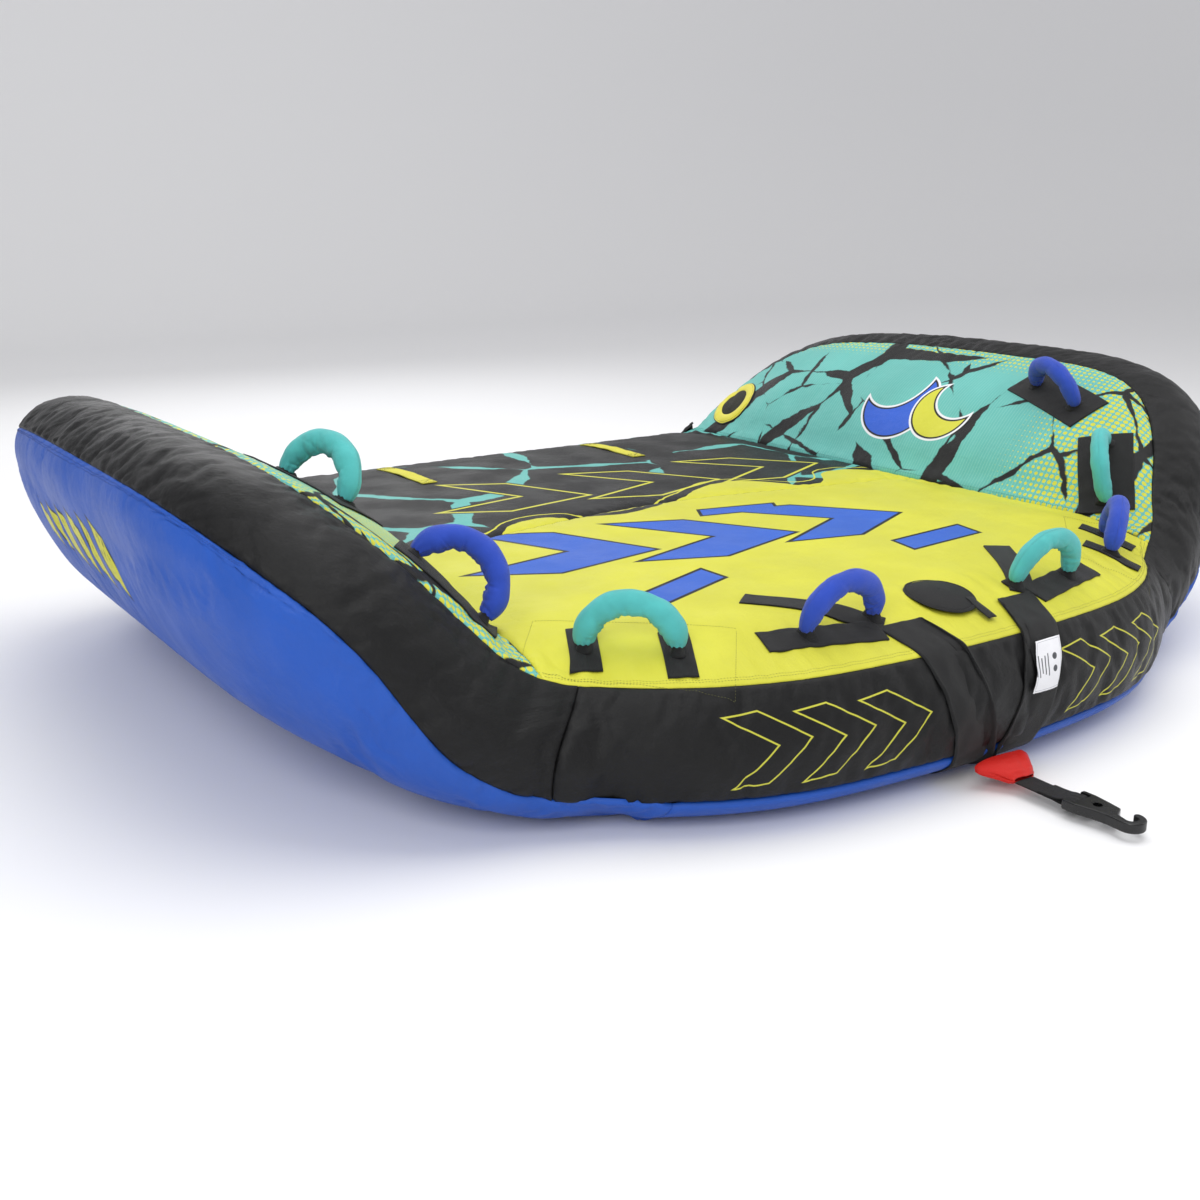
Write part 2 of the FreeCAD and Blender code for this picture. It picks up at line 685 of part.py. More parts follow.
def tow_strap():
    """The right half of the tow harness: a wide strap over the nose and two arms that spread its pull."""
    length = HARNESS_BACK + BAND_HEIGHT + HARNESS_UNDER

    def point(u, v, skin):
        girth = u * length - HARNESS_BACK
        return wrap_lifted(harness_centre(girth) + (v - 0.5) * HARNESS_WIDTH, girth, HARNESS_LIFT + WEBBING * skin)
    arms = [strip(start, end, ARM_WIDTH, lift) for (start, end), lift in zip(ARMS, ARM_LIFTS)]
    return Part.makeCompound([sheet(point, 34, 6)] + arms)


def label_tag():
    width, height = LABEL_SIZE

    def point(u, v, skin):
        girth = LABEL_START + u * height
        across = harness_centre(girth) + LABEL_OFFSET + (v - 0.5) * width
        return wrap_lifted(across, girth, LABEL_LIFT + LABEL_THICKNESS * skin)
    return sheet(point, 8, 6)


def boarding_strap(x):
    """Flat strap whose middle stands off the rear deck, for a hand."""
    def point(u, v, skin):
        y = mix(STRAP_FRONT, STRAP_REAR, u)
        rise = STRAP_LIFT + STRAP_SLACK * sin(pi * u) ** 2
        return top_lifted(x + (v - 0.5) * STRAP_WIDTH, y, rise + WEBBING * skin)
    return sheet(point, 18, 4)


# ---------------------------------------------------------------- valve
def valve_base():
    height = VALVE_TOP - VALVE_DEPTH
    flange = Part.makeCylinder(VALVE_FLANGE_RADIUS, 2, V(0, 0, VALVE_DEPTH))
    neck = Part.makeCylinder(VALVE_NECK_RADIUS, height, V(0, 0, VALVE_DEPTH))
    bore = Part.makeCylinder(VALVE_BORE_RADIUS, 2 * height, V(0, 0, VALVE_DEPTH - height / 2))
    return placed(flange.fuse(neck).cut(bore).removeSplitter(), frame_on_top(*VALVE_PLACE))


def valve_cap():
    """Cap with a plug in the valve's bore and a raised bar to turn it by."""
    seat = VALVE_TOP + 1.0
    disc = Part.makeCylinder(CAP_RADIUS, 2.7, V(0, 0, seat))
    plug = Part.makeCylinder(CAP_PLUG_RADIUS, 10.5, V(0, 0, seat - 10.5))
    length, width, height = CAP_GRIP
    grip = Part.makeBox(length, width, height, V(-length / 2, -width / 2, seat + 2.7))
    return placed(disc.fuse(plug).fuse(grip).removeSplitter(), frame_on_top(*VALVE_PLACE))


def valve_flap():
    """Domed round flap with a pull tab, hinged on its rear edge."""
    reach = FLAP_RADIUS + 34
    s0, y0 = VALVE_PLACE

    def point(u, v, skin):
        across, along = (u * 2 - 1) * reach, (v * 2 - 1) * reach
        share = min(hypot(across, along) / FLAP_RADIUS, 1.0)
        lift = mix(FLAP_RISE, FLAP_CLEARANCE, share**2)
        return top_lifted(s0 + across, y0 + along, lift + FLAP_THICKNESS * skin)

    width, tab_reach, offset = FLAP_TAB
    disc = Part.makeCylinder(FLAP_RADIUS, 120, V(0, 0, -60))
    tab = Part.makeBox(width, tab_reach - FLAP_RADIUS / 2, 120, V(offset, -tab_reach, -60))
    return sheet(point, 20, 20).common(placed(disc.fuse(tab), frame_on_top(*VALVE_PLACE)))


# ---------------------------------------------------------------- vents
def vent_disc(outer, inner, thickness):
    """A disc or ring that lies on the wing."""
    reach = outer + 12
    s, y = VENT_PLACE
    lying = strip((s - reach, y), (s + reach, y), 2 * reach, VENT_LIFT, thickness)
    cutter = Part.makeCylinder(outer, 120, V(0, 0, -60))
    if inner:
        cutter = cutter.cut(Part.makeCylinder(inner, 120, V(0, 0, -60)))
    return lying.common(placed(cutter, frame_on_top(s, y)))


# ---------------------------------------------------------------- zip
def zip_middle():
    """The rear band's surface on the zip's line, at the middle of the tail."""
    return band_point(TAIL_MIDDLE, 0.5)


def zip_tapes():
    tapes = []
    for side in (-1, 1):
        near, far = sorted(0.5 + side * edge / REAR_HEIGHT for edge in ZIP_TAPE_EDGES)
        tapes.append(band(TAIL_START + ZIP_TAPE_END, TAIL_END - ZIP_TAPE_END, near, far, 20, 2, *ZIP_TAPE_FACES))
    return Part.makeCompound(tapes)


def zip_coils():
    """Both halves of the coil, one over the other, as plain bars."""
    middle = zip_middle()
    height, depth = ZIP_COIL
    lows = (SEAM_HALF, -SEAM_HALF - height)
    return Part.makeCompound([Part.makeBox(2 * ZIP_HALF_LENGTH, depth, height,
                                           V(-ZIP_HALF_LENGTH, middle.y - ZIP_DEPTH, middle.z + low))
                              for low in lows])


def zip_slider():
    """Two plates round the coil, a post between its halves, and two arms with the pin that the pull hangs on."""
    middle = zip_middle()
    length, thickness, height = SLIDER
    left, low = SLIDER_X - length / 2, middle.z - height / 2
    front = Part.makeBox(length, thickness, height, V(left, middle.y + 0.1, low))
    back = Part.makeBox(length, thickness, height, V(left, middle.y - 5.2, low))
    post = Part.makeBox(4, 6, 0.7, V(SLIDER_X - 2, middle.y - 4.6, middle.z - 0.35))
    pin = Part.makeCylinder(0.9, 8, V(SLIDER_X, middle.y + PULL_REACH, middle.z - 4), V(0, 0, 1))
    arms = [Part.makeBox(1.8, 3.7, 1.6, V(SLIDER_X - 0.9, middle.y + 1.7, middle.z + z)) for z in (-5.0, 3.4)]
    body = front
    for piece in [back, post, pin] + arms:
        body = body.fuse(piece)
    return body.removeSplitter()


def zip_pull():
    """Blade with an eye round the slider's pin."""
    middle = zip_middle()
    pivot = V(SLIDER_X, middle.y + PULL_REACH, middle.z)
    eye = Part.makeCylinder(2.6, 5, pivot - V(0, 0, 2.5))
    blade = Part.makeBox(30, 1.8, 5, pivot + V(1.2, -0.9, -2.5))
    hole = Part.makeCylinder(1.3, 8, pivot - V(0, 0, 4))
    return eye.fuse(blade).cut(hole).removeSplitter()


# ---------------------------------------------------------------- tow end
SLEEVE_STATIONS = [           # y, height, half-width and half-height of the red sleeve
    (-913.0, 40.0, 66.0, 11.0), (-930.0, 36.0, 52.0, 14.0), (-950.0, 30.0, 38.0, 12.0), (-968.0, 24.0, 30.0, 9.0)]
LEAD_REAR, LEAD_FRONT = -969.5, -1060.0
LEAD_Z, LEAD_WIDTH, LEAD_THICKNESS = 24.0, 48.0, 4.0
HOOK_THICKNESS = 18.0
HOOK_ROUNDING = (4.0, 2.5)    # radii of the hook's upright edges and of its rims
HOOK_BAR_RADIUS, LEAD_EYE_RADIUS, LEAD_EYE_BORE = 4.4, 8.0, 4.9
HOOK_SEAT_RADIUS = 11.0
HOOK_CURL = 24.0              # outer radius of the hook's curl
HOOK_EYE_Y, HOOK_HOLE_Y, HOOK_SEAT_Y = -1079.0, -1116.0, -1182.0


def section_ring(y, z, half_width, half_height, power=3.0):
    """Flattened closed ring in a plane of constant y."""
    points = []
    for k in range(16):
        angle = 2 * pi * (k + 0.5) / 16
        c, s = cos(angle), sin(angle)
        grow = (abs(c) ** power + abs(s) ** power) ** (-1 / power)
        points.append(V(half_width * grow * c, y, z + half_height * grow * s))
    return points


def tow_sleeve():
    """Red fabric sleeve round the harness's end: wide at the nose, narrow where the lead leaves it."""
    outer = ring_loft([section_ring(*station) for station in SLEEVE_STATIONS])
    inner = ring_loft([section_ring(y, z, w - 2, h - 2) for y, z, w, h in SLEEVE_STATIONS])
    return outer.cut(inner)


def lead_strap():
    """Webbing lead with a rounded rear end at its hinge line and an eye for the hook in front."""
    half = LEAD_THICKNESS / 2
    strap = Part.makeBox(LEAD_WIDTH, LEAD_REAR - LEAD_FRONT - 2 * half, LEAD_THICKNESS,
                         V(-LEAD_WIDTH / 2, LEAD_FRONT, LEAD_Z - half))
    nose = Part.makeCylinder(half, LEAD_WIDTH, V(-LEAD_WIDTH / 2, LEAD_REAR - 2 * half, LEAD_Z), V(1, 0, 0))
    narrow = LEAD_WIDTH - 10
    eye = Part.makeCylinder(LEAD_EYE_RADIUS, narrow, V(-narrow / 2, HOOK_EYE_Y, LEAD_Z), V(1, 0, 0))
    bore = Part.makeCylinder(LEAD_EYE_BORE, LEAD_WIDTH, V(-LEAD_WIDTH / 2, HOOK_EYE_Y, LEAD_Z), V(1, 0, 0))
    neck = Part.makeBox(narrow, LEAD_FRONT + 4 - HOOK_EYE_Y, LEAD_THICKNESS,
                        V(-narrow / 2, HOOK_EYE_Y, LEAD_Z - half))
    return strap.fuse(nose).fuse(eye).fuse(neck).cut(bore).removeSplitter()


def rounded(block, upright, flat):
    """An upright extrusion with rounded upright edges, then rounded rims."""
    edges = [edge for edge in block.Edges if abs(edge.Vertexes[0].Z - edge.Vertexes[-1].Z) > 1]
    block = block.makeFillet(upright, edges)
    edges = [edge for edge in block.Edges if edge.BoundBox.ZLength < 0.001]
    return block.makeFillet(flat, edges)


def tow_hook():
    """Flat plastic hook: a bar for the lead's eye, a hole and an open seat for the tow rope's loop."""
    z = LEAD_Z - HOOK_THICKNESS / 2
    centre_x = 2.0
    level = HOOK_SEAT_Y + 4                     # where the curl and the seat end
    bottom = HOOK_SEAT_Y + 4 - HOOK_CURL
    left, right = centre_x - HOOK_CURL, centre_x + HOOK_CURL
    seat_left, seat_right = centre_x - HOOK_SEAT_RADIUS, centre_x + HOOK_SEAT_RADIUS
    tip = (right + seat_right) / 2
    side = [V(-30, -1067, z), V(-30, -1092, z), V(-23, -1122, z), V(-20, -1146, z), V(left, level, z)]
    throat = [V(seat_left, level, z), V(centre_x - 5, -1158, z), V(20, -1146, z), V(25, -1122, z),
              V(30, -1092, z), V(30, -1067, z), side[0]]
    curl = Part.Arc(side[-1], V(centre_x, bottom, z), V(right, level, z)).toShape()
    nib = Part.Arc(V(right, level, z), V(tip, level + 6.5, z), V(seat_right, level, z)).toShape()
    seat = Part.Arc(V(seat_right, level, z), V(centre_x, level - HOOK_SEAT_RADIUS, z), throat[0]).toShape()
    edges = Part.makePolygon(side).Edges + [curl, nib, seat] + Part.makePolygon(throat).Edges
    body = rounded(Part.Face(Part.Wire(edges)).extrude(V(0, 0, HOOK_THICKNESS)), *HOOK_ROUNDING)
    hole = Part.makeCylinder(8, 40, V(0, HOOK_HOLE_Y, z - 5))
    slot = Part.makeBox(42, 30, 40, V(-21, HOOK_EYE_Y - 9.5, z - 5))
    bar = Part.makeCylinder(HOOK_BAR_RADIUS, 44, V(-22, HOOK_EYE_Y, LEAD_Z), V(1, 0, 0))
    return body.cut(hole).cut(slot).fuse(bar).removeSplitter()


# ---------------------------------------------------------------- the assembly
def assembly():
    wing, side, bottom, bladder = wing_panel(), band_side(), bottom_wing_panel(), wing_bladder()
    strap = tow_strap()
    parts = {
        "deck_front_panel": deck_front_panel(), "deck_rear_panel": deck_rear_panel(),
        "wing_panel_right": wing, "wing_panel_left": mirrored(wing),
        "band_front": band_front(), "band_right": side, "band_left": mirrored(side),
        "band_rear_upper": band_rear_upper(), "band_rear_lower": band_rear_lower(),
        "bottom_centre_panel": bottom_centre_panel(),
        "bottom_wing_panel_right": bottom, "bottom_wing_panel_left": mirrored(bottom),
        "bladder_centre": bladder_centre(), "bladder_right": bladder, "bladder_left": mirrored(bladder),
        "deck_beams": deck_beams(),
        "valve_base": valve_base(), "valve_cap": valve_cap(), "valve_flap": valve_flap(),
        "zip_tapes": zip_tapes(), "zip_coils": zip_coils(), "zip_slider": zip_slider(), "zip_pull": zip_pull(),
        "tow_strap_right": strap, "tow_strap_left": mirrored(strap), "label_tag": label_tag(),
        "tow_sleeve": tow_sleeve(), "tow_lead": lead_strap(), "tow_hook": tow_hook(),
        "boarding_strap_right": boarding_strap(STRAP_X), "boarding_strap_left": boarding_strap(-STRAP_X),
    }
    sleeve, core = grip_sleeve(), grip_core()
    for name in GRIPS:
        for side_name, turn in (("right", lambda shape: shape), ("left", mirrored)):
            parts[f"grip_{name}_{side_name}"] = turn(placed(sleeve, grip_frame(name)))
            parts[f"grip_core_{name}_{side_name}"] = turn(placed(core, grip_frame(name)))
    tabs = {"corner": corner_tabs(), "centre": centre_tabs(), "wing_front": wing_pad("wing_front"),
            "wing_rear": wing_pad("wing_rear")}
    for name, shape in tabs.items():
        parts[f"grip_base_{name}_right"] = shape
        parts[f"grip_base_{name}_left"] = mirrored(shape)
    ring = vent_disc(VENT_RADIUS, VENT_MESH_RADIUS, VENT_RING_THICKNESS)
    mesh = vent_disc(VENT_MESH_RADIUS - VENT_CLEARANCE, 0, VENT_MESH_THICKNESS)
    parts.update({"vent_ring_right": ring, "vent_ring_left": mirrored(ring),
                  "vent_mesh_right": mesh, "vent_mesh_left": mirrored(mesh)})
    return parts


os.makedirs("parts", exist_ok=True)
for node, shape in assembly().items():
    shape.exportStep(f"parts/{node}.step")
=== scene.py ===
"""Looks of a towable tube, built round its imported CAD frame: cover panels with pinched seams, puckers and
prints, webbing, padded grips, tow end, valve flap, vents and zip. Metres, in the frame's own axes."""
import bmesh
import bpy
import json
import numpy as np
from math import atan2, cos, hypot, pi, radians, sin, sqrt
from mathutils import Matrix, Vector
from mathutils.bvhtree import BVHTree
from mathutils.kdtree import KDTree

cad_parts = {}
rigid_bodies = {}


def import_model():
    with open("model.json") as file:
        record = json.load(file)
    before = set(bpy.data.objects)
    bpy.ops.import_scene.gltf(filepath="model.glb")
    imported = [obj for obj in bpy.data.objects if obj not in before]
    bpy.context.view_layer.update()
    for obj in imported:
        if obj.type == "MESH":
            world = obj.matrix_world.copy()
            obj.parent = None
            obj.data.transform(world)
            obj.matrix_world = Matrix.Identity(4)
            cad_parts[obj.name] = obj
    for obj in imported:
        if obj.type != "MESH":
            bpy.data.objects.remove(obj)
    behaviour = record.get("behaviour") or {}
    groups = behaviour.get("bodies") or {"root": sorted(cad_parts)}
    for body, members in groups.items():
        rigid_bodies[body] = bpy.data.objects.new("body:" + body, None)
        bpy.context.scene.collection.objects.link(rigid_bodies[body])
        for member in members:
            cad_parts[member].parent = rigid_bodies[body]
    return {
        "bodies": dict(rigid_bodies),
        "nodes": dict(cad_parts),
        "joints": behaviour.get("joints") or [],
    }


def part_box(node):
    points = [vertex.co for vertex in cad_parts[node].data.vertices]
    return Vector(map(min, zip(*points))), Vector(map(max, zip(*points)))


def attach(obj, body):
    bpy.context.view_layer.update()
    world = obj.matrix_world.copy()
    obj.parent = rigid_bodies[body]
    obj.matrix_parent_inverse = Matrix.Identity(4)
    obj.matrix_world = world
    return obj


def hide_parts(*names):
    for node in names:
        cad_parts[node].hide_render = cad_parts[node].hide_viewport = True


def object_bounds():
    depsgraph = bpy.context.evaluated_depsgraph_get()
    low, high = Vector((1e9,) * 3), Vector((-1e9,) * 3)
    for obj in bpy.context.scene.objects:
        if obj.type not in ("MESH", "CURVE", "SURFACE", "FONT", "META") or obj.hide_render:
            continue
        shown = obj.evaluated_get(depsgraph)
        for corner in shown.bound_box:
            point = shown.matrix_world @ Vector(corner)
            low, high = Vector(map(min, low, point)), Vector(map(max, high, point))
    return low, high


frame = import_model()
NODES = frame["nodes"]
for extra in [o for o in bpy.data.objects if o.name not in NODES and not o.name.startswith("body:")]:
    bpy.data.objects.remove(extra)
cad_box = [list(corner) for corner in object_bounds()]

# ---------------------------------------------------------------- sizes
COARSE = 0.014              # grid of the simulated cover
KEEL_STEP = 0.02            # the same under the body
FINE = 0.0075               # grid of the finished cover
EDGE_ROWS = (0.0, 0.0022, 0.005, 0.009, 0.0145, 0.021)    # rows beside a seam, from the seam
FABRIC = 0.0009
SEAM_DEPTH, SEAM_REACH = 0.0034, 0.0058
FLANGE = 0.007              # seam allowance turned into the body
SEAM_SNAP = 0.0075          # rim points nearer than this to another panel's rim share its seam
CLOTH_FRAMES = 14
CLOTH_CAP = 0.007           # how far the simulation may move a point
CLOTH_DIP = 0.0015          # how far inward, so that the bladders stay covered
GROUND_GAP = 0.002          # the sagging underside stays this far above the floor
CLOTH = {"quality": 4, "mass": 0.12, "tension_stiffness": 18.0, "compression_stiffness": 14.0,
         "shear_stiffness": 8.0, "bending_stiffness": 0.06, "tension_damping": 6.0,
         "compression_damping": 6.0, "shear_damping": 6.0, "air_damping": 2.0, "vertex_group_mass": "pin",
         "shrink_min": -0.018, "use_pressure": True, "uniform_pressure_force": 2.2}
WEB_THICKNESS = 0.0019
WEB_FUZZ = 0.0012           # unevenness of webbing before it is softened
GRIP_RINGS, GRIP_AROUND = 120, 56
GRIP_FOOT = -0.005          # the sleeve's open ends, from the hinge line
GRIP_TAPER = 0.034          # height over which a sleeve widens from its gathered end
SEWN_LIFT = 0.0003          # middle of a stitch above the cloth
SIDES = ("right", "left")
TEAL_GRIPS = ("wing_rear_left", "corner_left", "centre_right", "wing_front_right")
UP = np.array((0.0, 0.0, 1.0))


# ---------------------------------------------------------------- meshes
def new_piece(name, points, faces, material, body="tube", flat=None, slot=None, node=None):
    """A mesh object that rides on a body. flat is a vector per point that its material reads; of a solid with
    two equal layers of points, one layer's is enough. node is the CAD node that the piece stands for."""
    mesh = bpy.data.meshes.new(name)
    mesh.from_pydata([tuple(p) for p in points], [], faces)
    mesh.validate()
    if flat is not None:
        flat = np.asarray(flat, np.float32).reshape(-1, 3)
        layer = mesh.attributes.new("flat", "FLOAT_VECTOR", "POINT")
        layer.data.foreach_set("vector", np.tile(flat, (len(points) // len(flat), 1)).ravel())
    mesh.shade_smooth()
    mesh.materials.append(material)
    piece = bpy.data.objects.new(name, mesh)
    bpy.context.scene.collection.objects.link(piece)
    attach(piece, body)
    if node:
        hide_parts(node)


def grid_faces(rows, columns, start=0, wrap=False):
    """Quads of a rows x columns grid of points; wrap joins the last column to the first."""
    faces = []
    for i in range(rows - 1):
        for j in range(columns if wrap else columns - 1):
            k = (j + 1) % columns
            faces.append((start + i * columns + j, start + (i + 1) * columns + j,
                          start + (i + 1) * columns + k, start + i * columns + k))
    return faces


def slab(top, bottom):
    """Points and faces of the closed solid between two equal grids, with top outward."""
    rows, columns = top.shape[:2]
    count = rows * columns
    points = np.concatenate([top.reshape(-1, 3), bottom.reshape(-1, 3)])
    faces = grid_faces(rows, columns)
    faces += [tuple(reversed(face)) for face in grid_faces(rows, columns, count)]
    rim = [(i, 0) for i in range(rows)] + [(rows - 1, j) for j in range(1, columns)]
    rim += [(i, columns - 1) for i in range(rows - 2, -1, -1)] + [(0, j) for j in range(columns - 2, 0, -1)]
    rim = [i * columns + j for i, j in rim]
    faces += [(a, a + count, b + count, b) for a, b in zip(rim, rim[1:] + rim[:1])]
    return points, faces


def round_shell(outer, inner):
    """Points and faces of the closed solid between two equal grids whose columns run all the way round."""
    rows, around = outer.shape[:2]
    count = rows * around
    points = np.concatenate([outer.reshape(-1, 3), inner.reshape(-1, 3)])
    faces = grid_faces(rows, around, wrap=True) + grid_faces(rows, around, count, wrap=True)
    for start in (0, count - around):
        row = list(range(start, start + around))
        faces += [(a, a + count, b + count, b) for a, b in zip(row, row[1:] + row[:1])]
    return points, oriented(points, faces)


def capped_tube(shape, start=0):
    """Faces of a tube of ring after ring of points, closed by a flat cap at both ends."""
    rings, around = shape
    last = start + rings * around
    caps = [tuple(range(start, start + around)), tuple(range(last - 1, last - around - 1, -1))]
    return grid_faces(rings, around, start, wrap=True) + caps


def oriented(points, faces):
    """The faces of a closed mesh with their normals outward."""
    mesh = bmesh.new()
    verts = [mesh.verts.new(p) for p in points]
    for face in faces:
        mesh.faces.new([verts[k] for k in face])
    mesh.verts.index_update()
    bmesh.ops.recalc_face_normals(mesh, faces=mesh.faces)
    if mesh.calc_volume(signed=True) < 0:
        bmesh.ops.reverse_faces(mesh, faces=mesh.faces)
    return [tuple(v.index for v in face.verts) for face in mesh.faces]


def normals_of(grid):
    across, along = np.gradient(grid, axis=0), np.gradient(grid, axis=1)
    normal = np.cross(across, along)
    return normal / np.maximum(np.linalg.norm(normal, axis=2, keepdims=True), 1e-12)


def spread(line, count):
    """count + 1 points at even steps along a polyline."""
    line = np.asarray(line, float)
    run = np.concatenate([[0], np.cumsum(np.linalg.norm(np.diff(line, axis=0), axis=1))])
    at = np.linspace(0, run[-1], count + 1)
    return np.stack([np.interp(at, run, line[:, k]) for k in range(3)], axis=1)


def length_of(line):
    return float(np.linalg.norm(np.diff(np.asarray(line, float), axis=0), axis=1).sum())


def resample(grid, places, axis):
    """Values at fractional places along one axis, by cubic interpolation."""
    grid = np.moveaxis(grid, axis, 0)
    last = len(grid) - 1
    low = np.clip(np.floor(places).astype(int), 0, last - 1)
    f = (places - low).reshape((-1,) + (1,) * (grid.ndim - 1))
    b, c = grid[low], grid[low + 1]
    a = np.where((low == 0).reshape(f.shape), 2 * b - c, grid[np.maximum(low - 1, 0)])
    d = np.where((low == last - 1).reshape(f.shape), 2 * c - b, grid[np.minimum(low + 2, last)])
    value = b + 0.5 * f * (c - a + f * (2 * a - 5 * b + 4 * c - d + f * (3 * (b - c) + d - a)))
    return np.moveaxis(value, 0, axis)


def coons(side_a, side_b, side_c, side_d):
    """Grid between four lines: a and c run along rows (v = 0, 1), d and b along columns (u = 0, 1)."""
    u = np.linspace(0, 1, len(side_a))[:, None, None]
    v = np.linspace(0, 1, len(side_d))[None, :, None]
    ruled = (1 - v) * side_a[:, None] + v * side_c[:, None] + (1 - u) * side_d[None] + u * side_b[None]
    corners = ((1 - u) * (1 - v) * side_a[0] + u * (1 - v) * side_a[-1] + (1 - u) * v * side_c[0]
               + u * v * side_c[-1])
    return ruled - corners


# ---------------------------------------------------------------- reading the CAD skins
def welded(node):
    mesh = bmesh.new()
    mesh.from_mesh(NODES[node].data)
    bmesh.ops.remove_doubles(mesh, verts=mesh.verts, dist=2e-5)
    mesh.faces.ensure_lookup_table()
    mesh.faces.index_update()
    return mesh


def skins(mesh, crease=0.9):
    """Smooth regions of a mesh, split at its sharp edges, the largest first."""
    seen, regions = set(), []
    for face in mesh.faces:
        if face.index in seen:
            continue
        seen.add(face.index)
        region, stack = [], [face]
        while stack:
            here = stack.pop()
            region.append(here)
            for edge in here.edges:
                if len(edge.link_faces) == 2 and edge.calc_face_angle(9) < crease:
                    for other in edge.link_faces:
                        if other.index not in seen:
                            seen.add(other.index)
                            stack.append(other)
        regions.append((sum(f.calc_area() for f in region), region))
    return sorted(regions, key=lambda r: -r[0])


def loop_of(region):
    """The longest boundary loop of a region, as points in order."""
    inside = {face.index for face in region}
    links = {}
    for face in region:
        for edge in face.edges:
            if sum(f.index in inside for f in edge.link_faces) == 1:
                a, b = edge.verts
                links.setdefault(a.index, []).append(b)
                links.setdefault(b.index, []).append(a)
                links.setdefault("v", {})[a.index], links["v"][b.index] = a, b
    verts = links.pop("v")
    best, used = [], set()
    for start in list(verts):
        if start in used:
            continue
        loop, here = [], verts[start]
        while here.index not in used:
            used.add(here.index)
            loop.append(np.array(here.co))
            onward = [v for v in links[here.index] if v.index not in used]
            if not onward:
                break
            here = onward[0]
        if length_of(loop) > length_of(best) if best else True:
            best = loop
    return best


def cut_loop(loop, corners):
    """The pieces of a loop between the points that lie farthest along each of the corner directions."""
    points = np.array(loop)
    marks = [int(np.argmax(points @ np.array(corner, float))) for corner in corners]
    count = len(loop)
    if (marks[1] - marks[0]) % count > (marks[2] - marks[0]) % count:
        points = points[::-1]
        marks = [count - 1 - mark for mark in marks]
    pieces = []
    for a, b in zip(marks, marks[1:] + marks[:1]):
        steps = (b - a) % count
        pieces.append(points[[(a + k) % count for k in range(steps + 1)]])
    return pieces


def edges_of(node, corners):
    """The four edge lines of a thin CAD panel, between its corners."""
    mesh = welded(node)
    return cut_loop(loop_of(skins(mesh)[0][1]), corners)


def tree_of(node):
    mesh = NODES[node].data
    return BVHTree.FromPolygons([v.co for v in mesh.vertices], [tuple(p.vertices) for p in mesh.polygons])


def points_of(node):
    return np.array([v.co for v in NODES[node].data.vertices])


def projected(grid, tree):
    """Inner points of a grid moved to the nearest place on a CAD surface."""
    out = grid.copy()
    for i in range(1, grid.shape[0] - 1):
        for j in range(1, grid.shape[1] - 1):
            spot = tree.find_nearest(Vector(grid[i, j]))[0]
            if spot is not None:
                out[i, j] = spot
    return out


def smoothed(grid, times):
    """Each inner point eased towards its neighbours' mean."""
    out = grid.copy()
    for _ in range(times):
        inner = (out[:-2, 1:-1] + out[2:, 1:-1] + out[1:-1, :-2] + out[1:-1, 2:]) / 4
        out[1:-1, 1:-1] = 0.5 * out[1:-1, 1:-1] + 0.5 * inner
    return out


# ---------------------------------------------------------------- the cover's panels
PANEL_SLOTS = {"deck_front": "nylon_yellow", "deck_rear": "nylon_black_deck", "wing": "nylon_teal",
               "band": "nylon_black_band", "bottom": "nylon_blue"}
DECK_CORNERS = [(-1, -1, 0), (1, -1, 0), (1, 1, 0), (-1, 1, 0)]


def cad_panel(name):
    """The CAD node of a cover panel: wing_right is wing_panel_right, deck_rear is deck_rear_panel."""
    kind, place = name.split("_", 1)
    if kind == "band":
        return name
    if place in SIDES:
        return ("bottom_wing" if kind == "bottom" else kind) + "_panel_" + place
    return name + "_panel"


def panel_grid(lines, tree, step):
    """lines: a (v = 0) and c (v = 1) run the same way along u; d (u = 0) and b (u = 1) run from a to c."""
    side_a, side_b, side_c, side_d = lines
    columns = max(4, round(max(length_of(side_a), length_of(side_c)) / step))
    rows = max(4, round(max(length_of(side_b), length_of(side_d)) / step))
    grid = coons(spread(side_a, columns), spread(side_b, rows), spread(side_c, columns), spread(side_d, rows))
    return smoothed(projected(grid, tree), 3)


def quad_lines(node, corners):
    """Corners in order (u0v0, u1v0, u1v1, u0v1)."""
    side_a, side_b, side_c, side_d = edges_of(node, corners)
    return side_a, side_b, side_c[::-1], side_d[::-1]


def trimmed(line, start, end):
    """The part of a line between the places nearest to two points, ending at them."""
    line = np.asarray(line)
    i = int(np.argmin(np.linalg.norm(line - start, axis=1)))
    j = int(np.argmin(np.linalg.norm(line - end, axis=1)))
    return np.concatenate([[start], line[i + 1:j], [end]])


def wing_lines(inner, rim):
    """Four lines of a wing panel: the inner seam and the rim, cut where the rim turns its outer corners."""
    rim = trimmed(rim, inner[0], inner[-1])
    front = int(np.argmax(rim @ np.array((1.4, -1.0, 0.4))))
    rear = int(np.argmax(rim @ np.array((1.4, 1.0, 0.4))))
    return inner, rim[rear:][::-1], rim[front:rear + 1], rim[:front + 1]


def flipped(grid):
    """The mirror image of a right-hand panel, with its normal still outward."""
    return (grid * np.array((-1.0, 1.0, 1.0)))[::-1]


